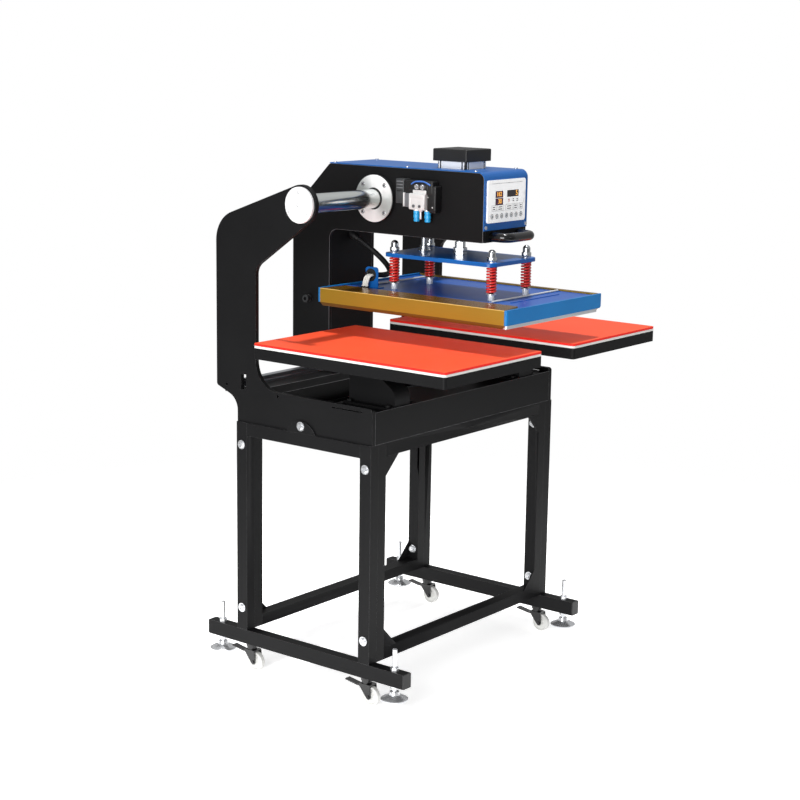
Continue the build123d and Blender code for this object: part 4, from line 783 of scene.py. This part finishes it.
def makeValve():
    shape = bmesh.new()
    number = valve["looks"].index
    for low, high, edge, segments, look in valve["blocks"].values():
        gather(shape, roundedBlock(onValve(low), onValve(high), edge, segments), finish=number(look))
    for name in ("screw", "socket", "knob", "plugScrew"):
        turned = valve[name]
        for place in turned["places"]:
            gather(shape, spun(turned["profile"], turned["steps"]), onValve(place), (-math.pi / 2, "Y"),
                   number(turned["look"]))
    # under the body: two hexagons with ringed blue collets, and the muffler
    for place in valve["fittings"]:
        x, y, z = onValve(place)
        hexagon = hexBar(valve["hexFlats"], valve["hexHeight"])
        gather(shape, hexagon, (x, y, z - valve["hexHeight"]), finish=number("valveSilver"))
        gather(shape, spun(valve["collet"]), (x, y, z), finish=number("fittingBlue"))
    muffler = spun(valve["muffler"], steps=24)
    gather(shape, muffler, onValve(valve["mufflerPlace"]), finish=number("valveSilver"))
    made = piece("valve", shape, valve["looks"], "head")
    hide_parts("solenoid_valve")


def makeValveHose():
    route = [onValve(place) for place in valve["hose"]]
    tube, path = curveMesh("valveHose", [route], valve["hoseRadius"], steps=12)
    tube.data.materials.append(finishNamed("hoseBlue"))
    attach(tube, "head")


makeValve()
makeValveHose()
print("valve made")


# Control panel

# places on the panel are from its middle in x and from its lower edge in z
panel = {"y": -250.5, "x": -3, "low": 1203, "height": 106, "glassNear": 0.6, "glassFar": 1.6, "facing": 0.8,
         "domeOut": 0.1, "digitY": 0.8, "digitDepth": 0.25,
         "digits": [("upperDigits", "182", 15.5, (-32, 70)), ("lowerDigits", "30", 16, (-29, 52)),
                    ("timeDigits", "5", 18, (44, 70))],
         "keys": 7, "pitch": 21, "keyRow": 16, "ring": [(5.4, 0), (6.5, 0), (6.5, 0.3), (5.4, 0.3)],
         "sign": [(0, 0), (2.4, 0), (0, 0.3)], "signOut": 0.65, "signShift": 0.325}
marks = {"out": 0.2, "thick": 0.3, "edge": 0.1, "line": 0.7, "boxLow": 28.5, "boxHigh": 43,
         "boxes": [(-65, -45.5), (-42, -12.5), (-5, 26.5), (30, 48.5), (54.5, 70.5)],
         "wordInset": 0.22, "words": [(32, 34.2), (37.5, 39.7)], "topLine": ((-68, 68), (97, 97.9)),
         "labels": [((5.5, 13), 1), ((25, 32.5), 0), ((42, 49.5), 0)],
         "labelRows": [(50, 52.2), (54.5, 56.7)],
         "units": [((75.5, 76.7), (64, 74)), ((75.5, 76.7), (46, 56))]}


def writeDigits(name, words, size, place):
    data = bpy.data.curves.new(name, "FONT")
    data.body = words
    data.size = size * mm
    data.align_x = "CENTER"
    data.align_y = "CENTER"
    data.extrude = panel["digitDepth"] * mm / 2
    holder = bpy.data.objects.new(name + "Text", data)
    bpy.context.scene.collection.objects.link(holder)
    bpy.context.view_layer.update()
    mesh = bpy.data.meshes.new_from_object(holder)
    bpy.data.objects.remove(holder)
    spot = (panel["x"] + place[0], panel["y"] + panel["digitY"], panel["low"] + place[1])
    move = Matrix.Translation([value * mm for value in spot])
    mesh.transform(move @ Matrix.Rotation(math.pi / 2, 4, "X"))
    mesh.materials.clear()
    mesh.materials.append(finishNamed("litYellow"))
    made = bpy.data.objects.new(name, mesh)
    bpy.context.scene.collection.objects.link(made)
    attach(made, "head")


def panelFinish(seen):
    # 1 and 2 are the displays' glass behind the panel's face, and 3 is the key domes in front of it
    inward = seen.spot.y - panel["y"]
    if panel["glassNear"] < inward < panel["glassFar"] and seen.normal.y < -panel["facing"]:
        upper = seen.spot.z > panel["low"] + panel["height"] / 2
        return 2 if seen.spot.x > panel["x"] and upper else 1
    return 3 if inward < -panel["domeOut"] else 0


def addMark(shape, across, upward, finish=0):
    x, y, z = panel["x"], panel["y"] - marks["out"], panel["low"]
    low = (x + across[0], y, z + upward[0])
    high = (x + across[1], y + marks["thick"], z + upward[1])
    gather(shape, roundedBlock(low, high, marks["edge"], 1), finish=finish)


def addKeySigns(shape):
    # a ring round each key and a small sign on it
    for k in range(panel["keys"]):
        x = panel["x"] + panel["pitch"] * (k - (panel["keys"] - 1) / 2)
        z = panel["low"] + panel["keyRow"]
        gather(shape, spun(panel["ring"], steps=32), (x, panel["y"], z), (math.pi / 2, "X"))
        shift = panel["signShift"] if k % 2 else -panel["signShift"]
        sign = spun(panel["sign"], steps=3 if k % 3 else 4)
        gather(shape, sign, (x, panel["y"] - panel["signOut"], z + shift), (math.pi / 2, "X"), 2)


def makePanel():
    recast("control_panel", 0.25, panelFinish, ("displayPurple", "displayDark", "clear_nylon"))
    for name, words, size, place in panel["digits"]:
        writeDigits(name, words, size, place)
    shape = bmesh.new()
    addMark(shape, *marks["topLine"])
    low, high, line = marks["boxLow"], marks["boxHigh"], marks["line"]
    for left, right in marks["boxes"]:
        for z in (low, high):
            addMark(shape, (left, right), (z, z + line))
        for x in (left, right - line):
            addMark(shape, (x, x + line), (low, high + line))
        inset = (right - left) * marks["wordInset"]
        for row in marks["words"]:
            addMark(shape, (left + inset, right - inset), row, 2)
    addKeySigns(shape)
    for across, finish in marks["labels"]:
        for row in marks["labelRows"]:
            addMark(shape, across, row, finish)
    for across, upward in marks["units"]:
        addMark(shape, across, upward)
    piece("panelMarks", shape, ("inkGrey", "inkRed", "black_plastic"), "head")


makePanel()
print("panel made")


# Nodes with rounded edges and more than one finish

# a rule sees a face's middle in millimetres, its normal and the corners of its solid, and gives the
# number of its finish: 0 is the node's own, and the others are those listed with the node
faces = {"up": 0.9, "side": 0.5, "slope": 0.2, "pressY": -106, "railEnd": 205, "hemHigh": 977,
         "capStart": 291.5, "cylinderCap": 1300, "grooveStart": 38, "grooveEnd": 45.5, "tabWidth": 36,
         "inletWidth": 20, "inletHalf": 60, "inletY": 380, "bushY": 40, "nutLow": 1106, "nutHigh": 1142,
         "rodEnd": 1097}


# the mats' sides take the deeper red of painted shade
def matFinish(seen):
    return 0 if seen.normal.z > faces["up"] else 1


# painted light on the rail: the top faces and the lower hem take darker gold as painted shade, the slanted
# top edge a pale gold as a painted highlight
def railFinish(seen):
    if seen.normal.z > faces["up"]:
        return 1
    if seen.normal.z > faces["slope"] and abs(seen.spot.x) > faces["railEnd"]:
        return 3
    return 2 if seen.spot.z < faces["hemHigh"] and seen.normal.z < faces["side"] else 0


def coverFinish(seen):
    return 2 if abs(seen.spot.y - faces["pressY"]) > faces["capStart"] else 1


def cylinderFinish(seen):
    # the cap above the tube is black, and the grooves in the tube's sides take the black finish as painted
    # shade in those recesses
    if seen.solid.low.z > faces["cylinderCap"]:
        return 1
    out = max(abs(seen.spot.x), abs(seen.spot.y - faces["pressY"]))
    shadedGroove = faces["grooveStart"] < out < faces["grooveEnd"]
    return 1 if shadedGroove and abs(seen.normal.z) < faces["side"] else 0


def bracketFinish(seen):
    return 0 if seen.solid.high.y - seen.solid.low.y > faces["tabWidth"] else 1


def fittingFinish(seen):
    wide = seen.solid.high.y - seen.solid.low.y > faces["inletWidth"]
    inlet = wide and abs(seen.spot.x) < faces["inletHalf"] and seen.spot.y > faces["inletY"]
    return 1 if inlet or seen.spot.y < faces["bushY"] else 0


def rodFinish(seen):
    return 1 if faces["nutLow"] < seen.spot.z < faces["nutHigh"] or seen.spot.z < faces["rodEnd"] else 0


recast("table_mats", 0.8, matFinish, ("matEdge",))
recast("table_boards", 0.5)
recast("table_frames", 0.8, extra=("edgeGrey",), rim=1)
recast("platen_side_rails", 0.5, railFinish, ("goldLedge", "goldHem", "goldEdge"))
recast("platen_cover", 0.4, coverFinish, ("deckBlue", "capBlue"))
recast("pressure_plate", 0.6, lambda seen: 1, ("plateBlue",))
recast("air_cylinder", 0.6, cylinderFinish, ("black_plastic",))
recast("conduit_bracket", 0.3, bracketFinish, ("darkRubber",))
recast("head_fittings", 0.3, fittingFinish, ("satin_steel",))
recast("press_rods", 0.4, rodFinish, ("mirrorNut",))
recast("head_cover", 0.4)
for node in ("side_plate_left", "side_plate_right", "head_arm_left", "head_arm_right", "base_frame",
             "side_frame_left", "side_frame_right", "front_frame", "rear_frame"):
    recast(node, 0.8, extra=("edgeGrey",), rim=1)
print("edges rounded")

stopRing = {"x": 111, "y": 328, "z": 961, "hole": 5.4, "radius": 9, "height": 0.25, "sink": 0.02}


def makeStopRings():
    # the worn faces of the two stops, round their sockets
    shape = bmesh.new()
    hole, radius, height = stopRing["hole"], stopRing["radius"], stopRing["height"]
    ring = [(hole, 0), (radius, 0), (radius, height), (hole, height)]
    for side in (-1, 1):
        place = (side * (stopRing["x"] - stopRing["sink"]), stopRing["y"], stopRing["z"])
        gather(shape, spun(ring, steps=40), place, (side * math.pi / 2, "Y"))
    piece("stopRings", shape, ("blockGrey",), "head")


makeStopRings()
print("stops made")


# Floor and light

# each side of the world has an axis, a way along it and a brightness
studio = {"floorSize": 6, "floorLow": (0.95, 0.95, 0.95, 1), "floorHigh": (0.97, 0.97, 0.97, 1), "cloud": 3,
          "roughness": 0.9, "clear": 1.3, "fade": 2.4, "glow": 0.6, "base": 0.12,
          "sides": [("Z", 1, 0.3), ("X", -1, 0.3), ("X", 1, 0.3)], "sun": 2.35, "sunSpread": 0.06}
lamps = {"keyLamp": {"place": (-3.6, -0.9, 1.35), "target": (0, 0, 0.95), "size": 2.0, "power": 105},
         "fillLamp": {"place": (-0.4, -4.2, 2.4), "target": (0, 0, 1.2), "size": 1.2, "power": 4}}


def makeFloor():
    shape = bmesh.new()
    bmesh.ops.create_grid(shape, x_segments=1, y_segments=1, size=studio["floorSize"])
    mesh = bpy.data.meshes.new("floor")
    shape.to_mesh(mesh)
    shape.free()
    finish = Finish("floorPaint")
    where = finish.place()
    far = finish.node("VectorMath", {"operation": "LENGTH"}, {0: where}, out="Value")
    stay = finish.node("MapRange", sockets={"Value": far, "From Min": studio["clear"],
                                            "From Max": studio["fade"], "To Min": 1.0, "To Max": 0.0})
    cloud = finish.noise(where, studio["cloud"], 2)
    finish.surface(Base_Color=finish.mix(studio["floorLow"], studio["floorHigh"], cloud),
                   Roughness=studio["roughness"], Alpha=stay,
                   Emission_Color=(1, 1, 1, 1), Emission_Strength=studio["glow"])
    mesh.materials.append(finish.material)
    floor = bpy.data.objects.new("floor", mesh)
    bpy.context.scene.collection.objects.link(floor)


def makeWorld():
    # white to the camera; its light comes from above and from both sides, with little from front and rear
    world = bpy.data.worlds.new("studio")
    bpy.context.scene.world = world
    world.use_nodes = True
    tree = world.node_tree
    way = tree.nodes.new("ShaderNodeTexCoord")
    apart = tree.nodes.new("ShaderNodeSeparateXYZ")
    tree.links.new(way.outputs["Generated"], apart.inputs[0])
    total = None
    for axis, facing, share in studio["sides"]:
        part = tree.nodes.new("ShaderNodeMapRange")
        tree.links.new(apart.outputs[axis], part.inputs["Value"])
        part.inputs["From Min"].default_value = 0
        part.inputs["From Max"].default_value = facing
        part.inputs["To Min"].default_value = 0
        part.inputs["To Max"].default_value = share
        if total is None:
            total = part.outputs["Result"]
        else:
            joined = tree.nodes.new("ShaderNodeMath")
            tree.links.new(total, joined.inputs[0])
            tree.links.new(part.outputs["Result"], joined.inputs[1])
            total = joined.outputs[0]
    paths = tree.nodes.new("ShaderNodeLightPath")
    level = tree.nodes.new("ShaderNodeMapRange")
    raised = tree.nodes.new("ShaderNodeMath")
    tree.links.new(total, raised.inputs[0])
    raised.inputs[1].default_value = studio["base"]
    tree.links.new(raised.outputs[0], level.inputs["To Min"])
    level.inputs["To Max"].default_value = 1
    tree.links.new(paths.outputs["Is Camera Ray"], level.inputs["Value"])
    tree.links.new(level.outputs["Result"], tree.nodes["Background"].inputs["Strength"])
    tree.nodes["Background"].inputs["Color"].default_value = (1, 1, 1, 1)


def makeSun():
    data = bpy.data.lights.new("overhead", "SUN")
    data.energy = studio["sun"]
    data.angle = studio["sunSpread"]
    lamp = bpy.data.objects.new("overhead", data)
    bpy.context.scene.collection.objects.link(lamp)


def makeLamp(name, place, target, size, power):
    data = bpy.data.lights.new(name, "AREA")
    data.shape = "SQUARE"
    data.size = size
    data.energy = power
    lamp = bpy.data.objects.new(name, data)
    bpy.context.scene.collection.objects.link(lamp)
    lamp.location = place
    lamp.rotation_mode = "QUATERNION"
    lamp.rotation_quaternion = (Vector(target) - Vector(place)).to_track_quat("-Z", "Y")


makeFloor()
makeWorld()
for name, values in lamps.items():
    makeLamp(name, **values)
makeSun()
print("floor and light made")
